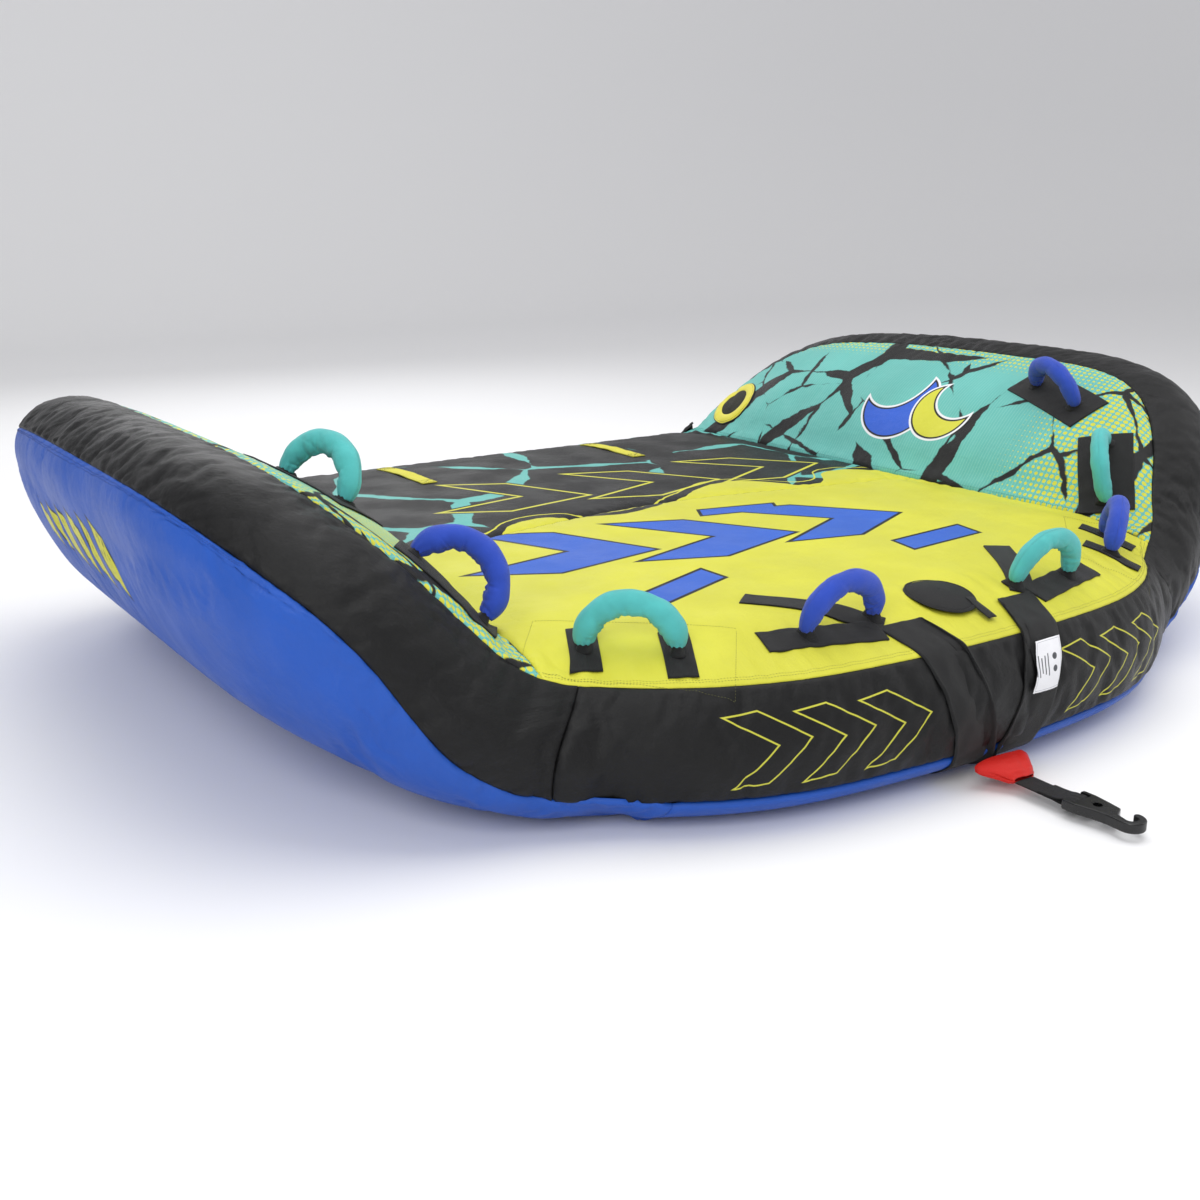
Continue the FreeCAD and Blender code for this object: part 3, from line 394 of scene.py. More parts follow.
def base_panels():
    """Coarse grids of every cover panel, from the CAD skins. The left half mirrors the right one."""
    tail = [(1, 0, -1), (-1, 0, -1), (-1, 0, 1), (1, 0, 1)]
    corners = {"deck_front": DECK_CORNERS, "deck_rear": DECK_CORNERS,
               "band_front": [(-1, 0, -1), (1, 0, -1), (1, 0, 1), (-1, 0, 1)],
               "band_right": [(-1, -1, -1), (-1, 1, -1), (-1, 1, 1), (-1, -1, 1)],
               "band_rear_upper": tail, "band_rear_lower": tail, "bottom_centre": DECK_CORNERS[::-1]}
    lines = {name: quad_lines(cad_panel(name), places) for name, places in corners.items()}
    crease = np.concatenate([lines["deck_front"][1], lines["deck_rear"][1]])
    keel_seam = lines["bottom_centre"][1][::-1]
    lines["wing_right"] = wing_lines(crease, lines["band_right"][2])
    lines["bottom_right"] = wing_lines(keel_seam, lines["band_right"][0])
    grids = {}
    for name, sides in lines.items():
        step = KEEL_STEP if name == "bottom_centre" else COARSE
        grids[name] = panel_grid(sides, tree_of(cad_panel(name)), step)
    grids["wing_right"] = grids["wing_right"][::-1]
    for name in ("band", "wing", "bottom"):
        grids[name + "_left"] = flipped(grids[name + "_right"])
    return grids


def inflated(points, faces, pins):
    """How far each point of a cloth moves under pressure, held at its pins and kept short."""
    mesh = bpy.data.meshes.new("cloth")
    mesh.from_pydata(points.tolist(), [], faces)
    cloth = bpy.data.objects.new("cloth", mesh)
    bpy.context.scene.collection.objects.link(cloth)
    cloth.vertex_groups.new(name="pin").add(pins, 1.0, "REPLACE")
    modifier = cloth.modifiers.new("cloth", "CLOTH")
    for key, value in CLOTH.items():
        setattr(modifier.settings, key, value)
    modifier.settings.effector_weights.gravity = 0.0
    modifier.collision_settings.use_collision = False
    modifier.point_cache.frame_end = CLOTH_FRAMES + 1
    for step in range(1, CLOTH_FRAMES + 1):
        bpy.context.scene.frame_set(step)
    result = cloth.evaluated_get(bpy.context.evaluated_depsgraph_get()).to_mesh()
    moved = np.zeros(len(points) * 3, np.float32)
    result.vertices.foreach_get("co", moved)
    bpy.data.objects.remove(cloth)
    bpy.context.scene.frame_set(1)
    shift = moved.reshape(-1, 3) - points
    size = np.linalg.norm(shift, axis=1, keepdims=True)
    return shift * (np.tanh(size / CLOTH_CAP) * CLOTH_CAP / np.maximum(size, 1e-9))


def run_cloth(grids):
    """The cover as one inflated cloth held at its seams. Returns the grids with the folds it settles into."""
    counts = [grid.shape[0] * grid.shape[1] for grid in grids.values()]
    starts = {name: sum(counts[:k]) for k, name in enumerate(grids)}
    faces, pins = [], []
    for name, grid in grids.items():
        rows, columns = grid.shape[:2]
        faces += grid_faces(rows, columns, starts[name])
        pins += [starts[name] + i * columns + j for i in range(rows) for j in range(columns)
                 if i in (0, rows - 1) or j in (0, columns - 1) or name == "bottom_centre"]
    shift = inflated(np.concatenate([grid.reshape(-1, 3) for grid in grids.values()]), faces, pins)
    settled = {}
    for name, grid in grids.items():
        block = shift[starts[name]:starts[name] + grid.shape[0] * grid.shape[1]].reshape(grid.shape)
        normal = normals_of(grid)
        inward = np.minimum((block * normal).sum(axis=2) + CLOTH_DIP, 0.0)
        settled[name] = grid + block - normal * inward[..., None]
        settled[name][..., 2] = np.maximum(settled[name][..., 2], np.minimum(grid[..., 2], GROUND_GAP))
    return settled


def graded(count, step):
    """Fractional places along count grid cells of a size: close rows beside both seams, even ones between."""
    edge = np.array(EDGE_ROWS) / step
    inner = max(2, round((count - 2 * edge[-1]) * step / FINE))
    middle = np.linspace(edge[-1], count - edge[-1], inner + 1)
    return np.concatenate([edge[:-1], middle, (count - edge[:-1])[::-1]])


def mean_step(grid, axis):
    return float(np.linalg.norm(np.diff(grid, axis=axis), axis=2).mean())


def run_along(grid, axis):
    """Distance from the first line of the grid along an axis."""
    steps = np.linalg.norm(np.diff(grid, axis=axis), axis=2)
    zero = np.zeros_like(np.take(steps, [0], axis=axis))
    return np.cumsum(np.concatenate([zero, steps], axis=axis), axis=axis)


class Panel:
    """A finished cover panel: fine grid, normals, and each point's distance from each of its four sides."""

    def __init__(self, name, base, settled):
        self.name, self.kind = name, name.split("_")[0]
        places = [graded(base.shape[k] - 1, mean_step(base, k)) for k in (0, 1)]
        self.base = resample(resample(base, places[0], 0), places[1], 1)
        self.grid = resample(resample(settled, places[0], 0), places[1], 1)
        self.normal = normals_of(self.base)
        u, v = run_along(self.base, 0), run_along(self.base, 1)
        self.reach = {"u0": u, "u1": u[-1:] - u, "v0": v, "v1": v[:, -1:] - v}
        self.along = {"u0": v, "u1": v, "v0": u, "v1": u}
        self.edge = np.minimum.reduce(list(self.reach.values()))

    def rim(self):
        """Index pairs of the boundary points."""
        rows, columns = self.grid.shape[:2]
        return [(i, j) for i in range(rows) for j in range(columns)
                if i in (0, rows - 1) or j in (0, columns - 1)]

    def pucker(self, side, pitch, depth, length, seed, lean=0.35):
        """Short creases that start at a seam, where a longer edge is gathered into a shorter one."""
        chance = np.random.default_rng(seed)
        away, along = self.reach[side], self.along[side]
        total = float(along.max())
        at = chance.uniform(0, pitch)
        relief = np.zeros(away.shape)
        while at < total:
            reach = length * chance.uniform(0.45, 1.6)
            width = chance.uniform(0.0035, 0.0075) + away * chance.uniform(0.03, 0.09)
            slant = chance.normal(0, lean)
            offset = (along - at - slant * away) / width
            relief += chance.uniform(0.35, 1.0) * np.exp(-offset**2) * np.exp(-(away / reach) ** 1.4)
            at += pitch * chance.uniform(0.45, 1.7)
        self.grid = self.grid - self.normal * (relief * depth)[..., None]


def close_seams(panels):
    """Draws each panel's rim onto its neighbours' and pulls every seam into the body."""
    owner = [panel for panel in panels for _ in panel.rim()]
    spots = [panel.grid[place] for panel in panels for place in panel.rim()]
    normals = [panel.normal[place] for panel in panels for place in panel.rim()]
    tree = KDTree(len(spots))
    for k, spot in enumerate(spots):
        tree.insert(Vector(spot), k)
    tree.balance()
    for panel in panels:
        grid = panel.grid
        rows, columns = grid.shape[:2]
        pull, panel.seam_normal = np.zeros(grid.shape), np.zeros(grid.shape)
        for i, j in panel.rim():
            own, normal, target = grid[i, j], panel.normal[i, j].copy(), grid[i, j]
            near = [k for _, k, _ in tree.find_range(Vector(own), SEAM_SNAP) if owner[k] is not panel]
            if near:
                gap = spots[min(near, key=lambda k: float(np.linalg.norm(spots[k] - own)))] - own
                if i in (0, rows - 1):
                    tangent = grid[i, min(j + 1, columns - 1)] - grid[i, max(j - 1, 0)]
                else:
                    tangent = grid[min(i + 1, rows - 1), j] - grid[max(i - 1, 0), j]
                tangent = tangent / max(np.linalg.norm(tangent), 1e-9)
                target = own + 0.5 * (gap - tangent * (gap @ tangent))
                normal += np.mean([normals[k] for k in near], axis=0)
            normal /= np.linalg.norm(normal)
            panel.seam_normal[i, j] = normal
            pull[i, j] = target - own - normal * SEAM_DEPTH
        shift, weight = np.zeros(grid.shape), np.zeros(grid.shape[:2] + (1,))
        sides = {"u0": pull[:1], "u1": pull[-1:], "v0": pull[:, :1], "v1": pull[:, -1:]}
        for side, edge in sides.items():
            fade = np.exp(-(panel.reach[side] / SEAM_REACH) ** 1.3)[..., None]
            shift += fade**2 * edge
            weight += fade
        panel.grid = grid + shift / np.maximum(weight, 1e-6) * np.minimum(weight, 1)


def panel_piece(panel, material):
    """The panel as a closed thin solid with a seam allowance turned into the body."""
    def framed(field):
        return np.pad(field, ((1, 1), (1, 1), (0, 0)), mode="edge")
    outer, drop = framed(panel.grid), framed(panel.seam_normal)
    edge = np.ones(outer.shape[:2], bool)
    edge[1:-1, 1:-1] = False
    outer[edge] -= drop[edge] * FLANGE
    points, faces = slab(outer, outer - framed(normals_of(panel.grid)) * FABRIC)
    new_piece(panel.name + "_cover", points, faces, material, flat=framed(pattern(panel)),
              slot=PANEL_SLOTS.get(panel.name) or PANEL_SLOTS[panel.kind], node=cad_panel(panel.name))


# ---------------------------------------------------------------- shading
def rgb(red, green, blue):
    """Display colour, 0 to 255, as linear."""
    parts = [c / 255 for c in (red, green, blue)]
    return tuple(c / 12.92 if c <= 0.04045 else ((c + 0.055) / 1.055) ** 2.4 for c in parts) + (1.0,)


YELLOW, TEAL, BLUE, BLACK = rgb(212, 210, 62), rgb(100, 184, 176), rgb(48, 98, 200), rgb(7, 7, 8)
GRIP_TEAL, GRIP_BLUE, RED = rgb(84, 190, 188), rgb(42, 76, 188), rgb(214, 34, 26)
UNDER_BLUE, WHITE, OLIVE, GREY = rgb(34, 86, 182), rgb(236, 236, 240), rgb(56, 54, 40), rgb(120, 122, 126)


class Shader:
    """A material and short names for the nodes that build it."""

    def __init__(self, name):
        self.material = bpy.data.materials.new(name)
        self.material.use_nodes = True
        self.tree = self.material.node_tree
        self.bsdf = self.tree.nodes["Principled BSDF"]

    def put(self, socket, value):
        if isinstance(value, bpy.types.NodeSocket):
            self.tree.links.new(value, socket)
        elif value is not None:
            socket.default_value = value

    def node(self, kind, *values, **settings):
        node = self.tree.nodes.new("ShaderNode" + kind)
        for key, value in settings.items():
            setattr(node, key, value)
        for socket, value in zip(node.inputs, values):
            self.put(socket, value)
        return node

    def math(self, operation, a, b=None, clamp=False):
        return self.node("Math", a, b, operation=operation, use_clamp=clamp).outputs[0]

    def plus(self, a, b):
        return self.math("ADD", a, b)

    def minus(self, a, b):
        return self.math("SUBTRACT", a, b)

    def times(self, a, b):
        return self.math("MULTIPLY", a, b)

    def larger(self, a, b):
        return self.math("MAXIMUM", a, b)

    def size(self, a):
        return self.math("ABSOLUTE", a)

    def sine(self, a):
        return self.math("SINE", a)

    def vector(self, operation, a, b=None):
        return self.node("VectorMath", a, b, operation=operation)

    def flat(self):
        """The point's place in the panel's own pattern, in metres."""
        return self.node("Attribute", attribute_name="flat").outputs["Vector"]

    def place(self):
        return self.node("TexCoord").outputs["Object"]

    def parts(self, vector):
        return self.node("SeparateXYZ", vector).outputs

    def scaled(self, vector, *scale):
        return self.vector("MULTIPLY", vector, scale).outputs[0]

    def moved(self, vector, x, y):
        return self.vector("ADD", vector, (x, y, 0.0)).outputs[0]

    def noise(self, vector, scale, detail=2.0, rough=0.5, colour=False):
        node = self.node("TexNoise", noise_dimensions="3D")
        self.put(node.inputs["Vector"], vector)
        node.inputs["Scale"].default_value = scale
        node.inputs["Detail"].default_value = detail
        node.inputs["Roughness"].default_value = rough
        return node.outputs["Color" if colour else "Fac"]

    def step(self, value, low, high, out_low=0.0, out_high=1.0):
        node = self.node("MapRange", interpolation_type="SMOOTHSTEP")
        for key, amount in (("Value", value), ("From Min", low), ("From Max", high), ("To Min", out_low),
                            ("To Max", out_high)):
            self.put(node.inputs[key], amount)
        return node.outputs[0]

    def mix(self, amount, a, b):
        node = self.node("Mix", data_type="RGBA")
        self.put(node.inputs[0], amount)
        self.put(node.inputs[6], a)
        self.put(node.inputs[7], b)
        return node.outputs[2]

    def inside(self, distance, blur=0.0006):
        """1 where a distance is below zero."""
        return self.step(distance, -blur, blur, 1.0, 0.0)

    def near(self, distance, width, blur=0.0006):
        """1 on a line of a width along distance zero."""
        return self.inside(self.minus(self.size(distance), width / 2), blur)

    def dot(self, a, b):
        return self.vector("DOT_PRODUCT", a, b).outputs["Value"]

    def polygon(self, vector, corners):
        """Distance outside a convex polygon whose corners run anticlockwise."""
        worst = None
        for (ax, ay), (bx, by) in zip(corners, corners[1:] + corners[:1]):
            size = hypot(bx - ax, by - ay)
            out = ((by - ay) / size, (ax - bx) / size, 0.0)
            gap = self.minus(self.dot(vector, out), out[0] * ax + out[1] * ay)
            worst = gap if worst is None else self.larger(worst, gap)
        return worst

    def union(self, distances):
        total = distances[0]
        for distance in distances[1:]:
            total = self.math("MINIMUM", total, distance)
        return total

    def disc(self, vector, centre, radius):
        level = self.vector("MULTIPLY", vector, (1.0, 1.0, 0.0)).outputs[0]
        gap = self.vector("DISTANCE", level, tuple(centre) + (0.0,)).outputs["Value"]
        return self.minus(gap, radius)

    def cracks(self, vector, scale, width, wobble=0.05):
        """1 on a net of uneven cracks."""
        bent = self.vector("ADD", vector, self.scaled(self.noise(vector, scale * 2.5, 3.0, 0.6, True),
                                                      wobble, wobble, wobble)).outputs[0]
        flat = self.vector("MULTIPLY", bent, (1.0, 1.0, 0.0)).outputs[0]
        cells = self.node("TexVoronoi", voronoi_dimensions="2D", feature="DISTANCE_TO_EDGE")
        self.put(cells.inputs["Vector"], flat)
        cells.inputs["Scale"].default_value = scale
        uneven = self.times(self.step(self.noise(vector, scale * 1.3), 0.36, 0.66), width * scale)
        ragged = self.times(self.noise(vector, scale * 14, 3.0, 0.7), 0.35 * width * scale)
        return self.inside(self.minus(self.plus(cells.outputs["Distance"], ragged), uneven),
                           0.002 * scale)

    def height(self, *layers):
        """Bump from (value, depth in metres) layers, one after another."""
        normal = None
        for value, depth in layers:
            bump = self.node("Bump")
            bump.inputs["Strength"].default_value = 1.0
            bump.inputs["Distance"].default_value = depth
            self.put(bump.inputs["Height"], value)
            self.put(bump.inputs["Normal"], normal) if normal else None
            normal = bump.outputs[0]
        self.put(self.bsdf.inputs["Normal"], normal)

    def weave(self, vector, pitch):
        """Plain weave: threads over and under, in the panel's pattern."""
        x, y, _ = self.parts(self.scaled(vector, pi / pitch, pi / pitch, 0.0))
        warp = self.size(self.sine(x))
        weft = self.size(self.sine(y))
        over = self.math("GREATER_THAN", self.times(self.math("COSINE", x), self.math("COSINE", y)), 0.0)
        return self.plus(self.times(over, warp),
                         self.times(self.minus(1.0, over), weft))

    def surface(self, colour, roughness, specular=0.5, sheen=0.0, coat=0.0, metallic=0.0):
        self.put(self.bsdf.inputs["Base Color"], colour)
        self.put(self.bsdf.inputs["Roughness"], roughness)
        for key, value in (("Specular IOR Level", specular), ("Sheen Weight", sheen), ("Coat Weight", coat),
                           ("Metallic", metallic)):
            self.bsdf.inputs[key].default_value = value
        return self.material


def tinted(colour, factor, more=0.0):
    return tuple(min(1, c * factor + more) for c in colour[:3]) + (1.0,)


def aged(shader, colour, vector, amount=0.12):
    """Slight cloudy variation and faint dirt in a colour."""
    cloud = shader.step(shader.noise(vector, 5.0, 5.0, 0.6), 0.3, 0.75)
    darker = shader.mix(amount, colour, (0.0, 0.0, 0.0, 1.0))
    return shader.mix(cloud, darker, colour)


def nylon(shader, colour, roughness=0.46, wrinkle=0.0011, specular=0.3):
    """Coated woven nylon: fine weave, soft crinkles and a broken-up shine."""
    flat, place = shader.flat(), shader.place()
    crinkle = shader.noise(shader.scaled(flat, 1.0, 1.0, 0.2), 26.0, 5.0, 0.55)
    fine = shader.noise(flat, 95.0, 3.0, 0.6)
    shader.height((crinkle, wrinkle * 2.2), (fine, wrinkle * 0.35), (shader.weave(flat, 0.0011), 0.00012))
    rough = shader.step(shader.noise(place, 9.0, 4.0), 0.3, 0.7, roughness - 0.06, roughness + 0.1)
    return shader.surface(aged(shader, colour, place), rough, specular)


def plain_nylon(name, colour, **look):
    return nylon(Shader(name), colour, **look)


def bars(x, y, length, width, turn, lean=0.35):
    """A slanted bar as a convex polygon, centred at x, y."""
    corners = [(-length / 2, -width / 2), (length / 2 - lean * width, -width / 2), (length / 2, width / 2),
               (-length / 2 + lean * width, width / 2)]
    c, s = cos(turn), sin(turn)
    return [(x + px * c - py * s, y + px * s + py * c) for px, py in corners]


def chevron(shader, vector, x, y, size, width, turn, slope=radians(38)):
    """Distance outside an arrow head of two even arms, the generic mark of the prints."""
    ahead, aside = (cos(turn), sin(turn), 0.0), (-sin(turn), cos(turn), 0.0)
    moved = shader.vector("SUBTRACT", vector, (x, y, 0.0)).outputs[0]
    u, v = shader.dot(moved, ahead), shader.size(shader.dot(moved, aside))
    bent = shader.plus(shader.times(u, sin(slope)), shader.times(v, cos(slope)))
    arm = shader.minus(shader.size(bent), width / 2)
    return shader.larger(arm, shader.minus(v, size * sin(slope)))


# arrow heads and bars of the prints: place, size, width and turn
DECK_ARROWS = [(-0.32, -0.19, 0.25, 0.105, -0.52), (0.00, -0.25, 0.25, 0.105, -0.38),
               (0.32, -0.25, 0.24, 0.100, -0.22)]
DECK_CHIPS = [(-0.36, -0.47, 0.22, 0.062, 0.35), (0.12, -0.05, 0.20, 0.050, -0.2),
              (0.30, -0.47, 0.24, 0.066, 0.12)]
REAR_ARROWS = [(-0.14, 0.30, 0.24, 0.100, -0.5), (0.22, 0.27, 0.24, 0.105, -0.35),
               (0.58, 0.29, 0.23, 0.100, -0.2)]
BAND_ARROWS = [(x, 0.098, 0.100, 0.036, 0.12) for x in (-0.45, -0.33, -0.21, 0.28, 0.40, 0.52)]
UNDER_STRIPES = [(0.80 - 0.006 * k, 0.02 + 0.085 * k, 0.15 - 0.010 * k, 0.046, 0.25, 0.8) for k in range(6)]
# the emblem's two crescents: centre, radius, offset of the disc that is taken away, and colour
CRESCENTS = [((0.20, 0.20), 0.105, (0.075, 0.045), rgb(40, 92, 205)),
             ((0.20, 0.05), 0.085, (0.055, -0.035), YELLOW)]
# the printed border across the deck, as x and y
DIVIDE = [(-0.80, 0.16), (-0.58, 0.03), (-0.47, 0.05), (-0.30, 0.13), (-0.12, 0.06), (0.10, 0.13),
          (0.30, 0.20), (0.47, 0.08), (0.60, 0.17), (0.80, 0.14)]


def divide_line(shader, x):
    """Height of the printed border between yellow and black across the deck."""
    node = shader.node("FloatCurve")
    curve = node.mapping.curves[0]
    low, high = DIVIDE[0][0], DIVIDE[-1][0]
    while len(curve.points) < len(DIVIDE):
        curve.points.new(0.5, 0.5)
    for point, (px, py) in zip(curve.points, DIVIDE):
        point.location = ((px - low) / (high - low), py * 2)
    node.mapping.update()
    shader.put(node.inputs[0], 1.0)
    shader.put(node.inputs[1], shader.math("DIVIDE", shader.minus(x, low), high - low, clamp=True))
    return shader.times(node.outputs[0], 0.5)


def deck_print():
    """Yellow front with blue arrows, black rear with teal cracks and thin yellow arrows."""
    shader = Shader("deck_print")
    flat = shader.flat()
    x, y, _ = shader.parts(flat)
    ragged = shader.times(shader.minus(shader.noise(flat, 14.0, 3.0), 0.5), 0.022)
    past = shader.minus(shader.plus(divide_line(shader, x), ragged), y)
    arrows = [chevron(shader, flat, *arrow) for arrow in DECK_ARROWS]
    blue = shader.union(arrows + [shader.polygon(flat, bars(*chip)) for chip in DECK_CHIPS])
    front = shader.mix(shader.inside(shader.minus(blue, 0.008)), YELLOW, BLACK)
    front = shader.mix(shader.inside(blue), front, BLUE)
    thin = shader.union([chevron(shader, flat, *arrow) for arrow in REAR_ARROWS])
    crack = shader.cracks(flat, 2.9, 0.028)
    scratch = shader.step(shader.noise(shader.scaled(flat, 4.0, 26.0, 1.0), 6.0, 4.0, 0.7), 0.68, 0.71)
    rear = shader.mix(shader.times(scratch, 0.35), BLACK, GREY)
    rear = shader.mix(crack, rear, TEAL)
    rear = shader.mix(shader.inside(shader.minus(thin, 0.012)), rear, BLACK)
    rear = shader.mix(shader.near(thin, 0.009), rear, YELLOW)
    rear = shader.mix(shader.near(shader.plus(past, 0.03), 0.006), rear, YELLOW)
    border = shader.minus(0.925, shader.plus(y, shader.times(ragged, 2.0)))
    rear = shader.mix(shader.inside(border), rear, TEAL)
    colour = shader.mix(shader.inside(past), front, rear)
    return nylon(shader, colour, roughness=0.5, specular=0.35)


def wing_print():
    """Teal with black cracks, fine lines and yellow dots, and a plain crescent emblem."""
    shader = Shader("wing_print")
    flat = shader.flat()
    across, ahead, _ = shader.parts(flat)
    lines = shader.step(shader.sine(shader.times(ahead, 2 * pi / 0.0085)), 0.55, 0.8)
    colour = shader.mix(shader.times(lines, 0.3), TEAL, rgb(150, 214, 200))
    dot_grid = shader.moved(shader.scaled(flat, 1 / 0.015, 1 / 0.015, 0.0), 0.25, 0.25)
    corner = shader.vector("FRACTION", dot_grid).outputs[0]
    cell = shader.vector("SUBTRACT", corner, (0.5, 0.5, 0.0)).outputs[0]
    size = shader.vector("LENGTH", cell).outputs["Value"]
    front, rim = shader.step(ahead, -0.14, -0.40, 0.0, 0.40), shader.step(across, 0.34, 0.42, 0.0, 0.3)
    fade = shader.larger(front, rim)
    dots = shader.step(shader.minus(size, fade), -0.03, 0.03, 1.0, 0.0)
    colour = shader.mix(dots, colour, YELLOW)
    crack = shader.larger(shader.cracks(shader.moved(flat, 3.1, 1.7), 2.3, 0.034),
                          shader.cracks(flat, 4.6, 0.011, 0.03))
    colour = shader.mix(crack, colour, BLACK)
    for (x, y), radius, (bite_x, bite_y), paint in CRESCENTS:
        bite = shader.disc(flat, (x + bite_x, y + bite_y), radius)
        moon = shader.larger(shader.disc(flat, (x, y), radius), shader.times(bite, -1.0))
        colour = shader.mix(shader.inside(shader.minus(moon, 0.011)), colour, WHITE)
        colour = shader.mix(shader.inside(shader.minus(moon, 0.005)), colour, BLACK)
        colour = shader.mix(shader.inside(moon), colour, paint)
    return nylon(shader, colour, roughness=0.5, specular=0.35)


def band_print():
    """Black band with thin yellow arrows on both sides of the harness."""
    shader = Shader("band_print")
    flat = shader.flat()
    arrows = shader.union([chevron(shader, flat, *arrow) for arrow in BAND_ARROWS])
    colour = shader.mix(shader.near(arrows, 0.0028), BLACK, rgb(206, 204, 70))
    return nylon(shader, colour, roughness=0.42, wrinkle=0.0016)


def under_print():
    """Blue underside with slanted yellow stripes near the rear."""
    shader = Shader("under_print")
    flat = shader.flat()
    stripe = shader.union([shader.polygon(flat, bars(*stripe)) for stripe in UNDER_STRIPES])
    worn = shader.step(shader.noise(shader.scaled(flat, 9.0, 60.0, 1.0), 5.0, 3.0, 0.7), 0.34, 0.42)
    colour = shader.mix(shader.inside(shader.minus(stripe, 0.005)), UNDER_BLUE, BLACK)
    colour = shader.mix(shader.times(shader.inside(stripe), worn), colour, YELLOW)
    return nylon(shader, colour, roughness=0.44, wrinkle=0.0014)


def webbing(name, colour, ribs=0.0022, roughness=0.6):
    """Flat webbing: ribs along it, a herringbone across, darker along all its edges and ends, and painted
    highlight on the rib crests.
    """
    shader = Shader(name)
    flat = shader.flat()
    along, across, edge = shader.parts(flat)
    rib = shader.size(shader.sine(shader.times(across, pi / ribs)))
    slant = shader.times(shader.size(across), 2 * pi / 0.0034)
    zig = shader.sine(shader.plus(shader.times(along, 2 * pi / 0.0021), slant))
    shader.height((rib, 0.00035), (zig, 0.00018), (shader.noise(flat, 60.0, 3.0), 0.0006))
    # darker towards every edge and end, within about 4 mm
    edge_darkening = shader.step(edge, 0.0, 0.004)
    paint = shader.mix(edge_darkening, tinted(colour, 0.62), colour)
    # painted highlight and shade: the rib crests are painted lighter and the grooves darker, following the
    # rib bump
    paint = shader.mix(shader.times(rib, 0.25), paint, tinted(colour, 1.6, 0.008))
    return shader.surface(aged(shader, paint, flat), roughness, 0.3, 0.06)


def plastic(name, colour, roughness=0.38, coarse=0.00025):
    """Moulded plastic: fine grain and an uneven gloss."""
    shader = Shader(name)
    place = shader.place()
    shader.height((shader.noise(place, 40.0, 3.0), coarse), (shader.noise(place, 900.0, 2.0), 0.00012))
    rough = shader.step(shader.noise(place, 30.0, 4.0), 0.3, 0.7, roughness - 0.08, roughness + 0.1)
    return shader.surface(aged(shader, colour, place), rough, 0.5)


def metal(name, colour, roughness=0.3):
    """Drawn metal: fine scratches one way and an uneven gloss."""
    shader = Shader(name)
    place = shader.place()
    shader.height((shader.noise(shader.scaled(place, 1.0, 1.0, 12.0), 260.0, 2.0), 0.00008))
    rough = shader.step(shader.noise(place, 90.0, 4.0), 0.3, 0.7, roughness - 0.08, roughness + 0.12)
    return shader.surface(aged(shader, colour, place), rough, 0.5, metallic=1.0)


def quilt(name, colour):
    """Soft padded cloth of the grips: fine cross weave with a matt sheen."""
    shader = Shader(name)
    flat = shader.flat()
    shader.height((shader.noise(flat, 70.0, 4.0, 0.6), 0.0012), (shader.weave(flat, 0.0009), 0.00016))
    cloud = shader.mix(shader.step(shader.noise(flat, 22.0, 4.0), 0.35, 0.7), tinted(colour, 0.86), colour)
    return shader.surface(cloud, 0.72, 0.3, 0.15)


def ring_print():
    """Vent ring: yellow, with black bands at both edges that are painted shadow; flat x is the distance from
    its middle as a share of its width.
    """
    shader = Shader("ring_print")
    flat = shader.flat()
    share, around, _ = shader.parts(flat)
    # painted shadow: black bands along the inner and outer edges, where the padded ring falls away
    edge = shader.larger(shader.step(share, 0.055, 0.035), shader.step(share, 0.90, 0.93))
    dashes = shader.step(shader.sine(shader.times(around, 90.0)), -0.3, 0.0)
    stitch = shader.times(shader.near(shader.minus(share, 0.80), 0.035, 0.006), dashes)
    # black: the real stitches, and the edge bands that are painted shadow
    colour = shader.mix(shader.larger(edge, stitch), rgb(222, 212, 58), BLACK)
    place = shader.place()
    shader.height((shader.noise(place, 60.0, 3.0), 0.0012), (shader.noise(place, 700.0), 0.0002))
    return shader.surface(aged(shader, colour, place), 0.5, 0.4, 0.1)


def mesh_print():
    """Dark open mesh: a fine grid of holes, painted near-black as the shade seen through them."""
    shader = Shader("mesh_print")
    flat = shader.flat()
    cell = shader.vector("FRACTION", shader.scaled(flat, 1 / 0.0042, 1 / 0.0042, 0.0)).outputs[0]
    gap = shader.vector("DISTANCE", cell, (0.5, 0.5, 0.0)).outputs["Value"]
    hole = shader.step(gap, 0.36, 0.28)
    # painted shade: the holes are near-black, the shade seen through them; the olive threads are the mesh's
    # own colour
    colour = shader.mix(hole, OLIVE, rgb(14, 14, 12))
    shader.height((shader.minus(1.0, hole), 0.0009))
    return shader.surface(aged(shader, colour, flat, 0.3), 0.7, 0.3)


def label_print():
    """White sewn label with a few plain marks and no wording."""
    shader = Shader("label_print")
    flat = shader.flat()
    edge = shader.parts(flat)[2]
    marks = [shader.disc(flat, (0.022, -0.012), 0.006), shader.disc(flat, (0.022, 0.010), 0.006)]
    marks += [shader.polygon(flat, bars(0.040 + 0.008 * k, 0.0, 0.0026, 0.040 - 0.006 * (k % 3), 0, 0))
              for k in range(5)]
    colour = shader.mix(shader.inside(shader.union(marks), 0.0004), WHITE, rgb(70, 72, 78))
    colour = shader.mix(shader.near(shader.minus(edge, 0.0035), 0.0008, 0.0003), colour, rgb(170, 172, 178))
    shader.height((shader.noise(flat, 90.0, 3.0), 0.0006), (shader.weave(flat, 0.0006), 0.00008))
    return shader.surface(aged(shader, colour, flat, 0.06), 0.5, 0.4, 0.1)


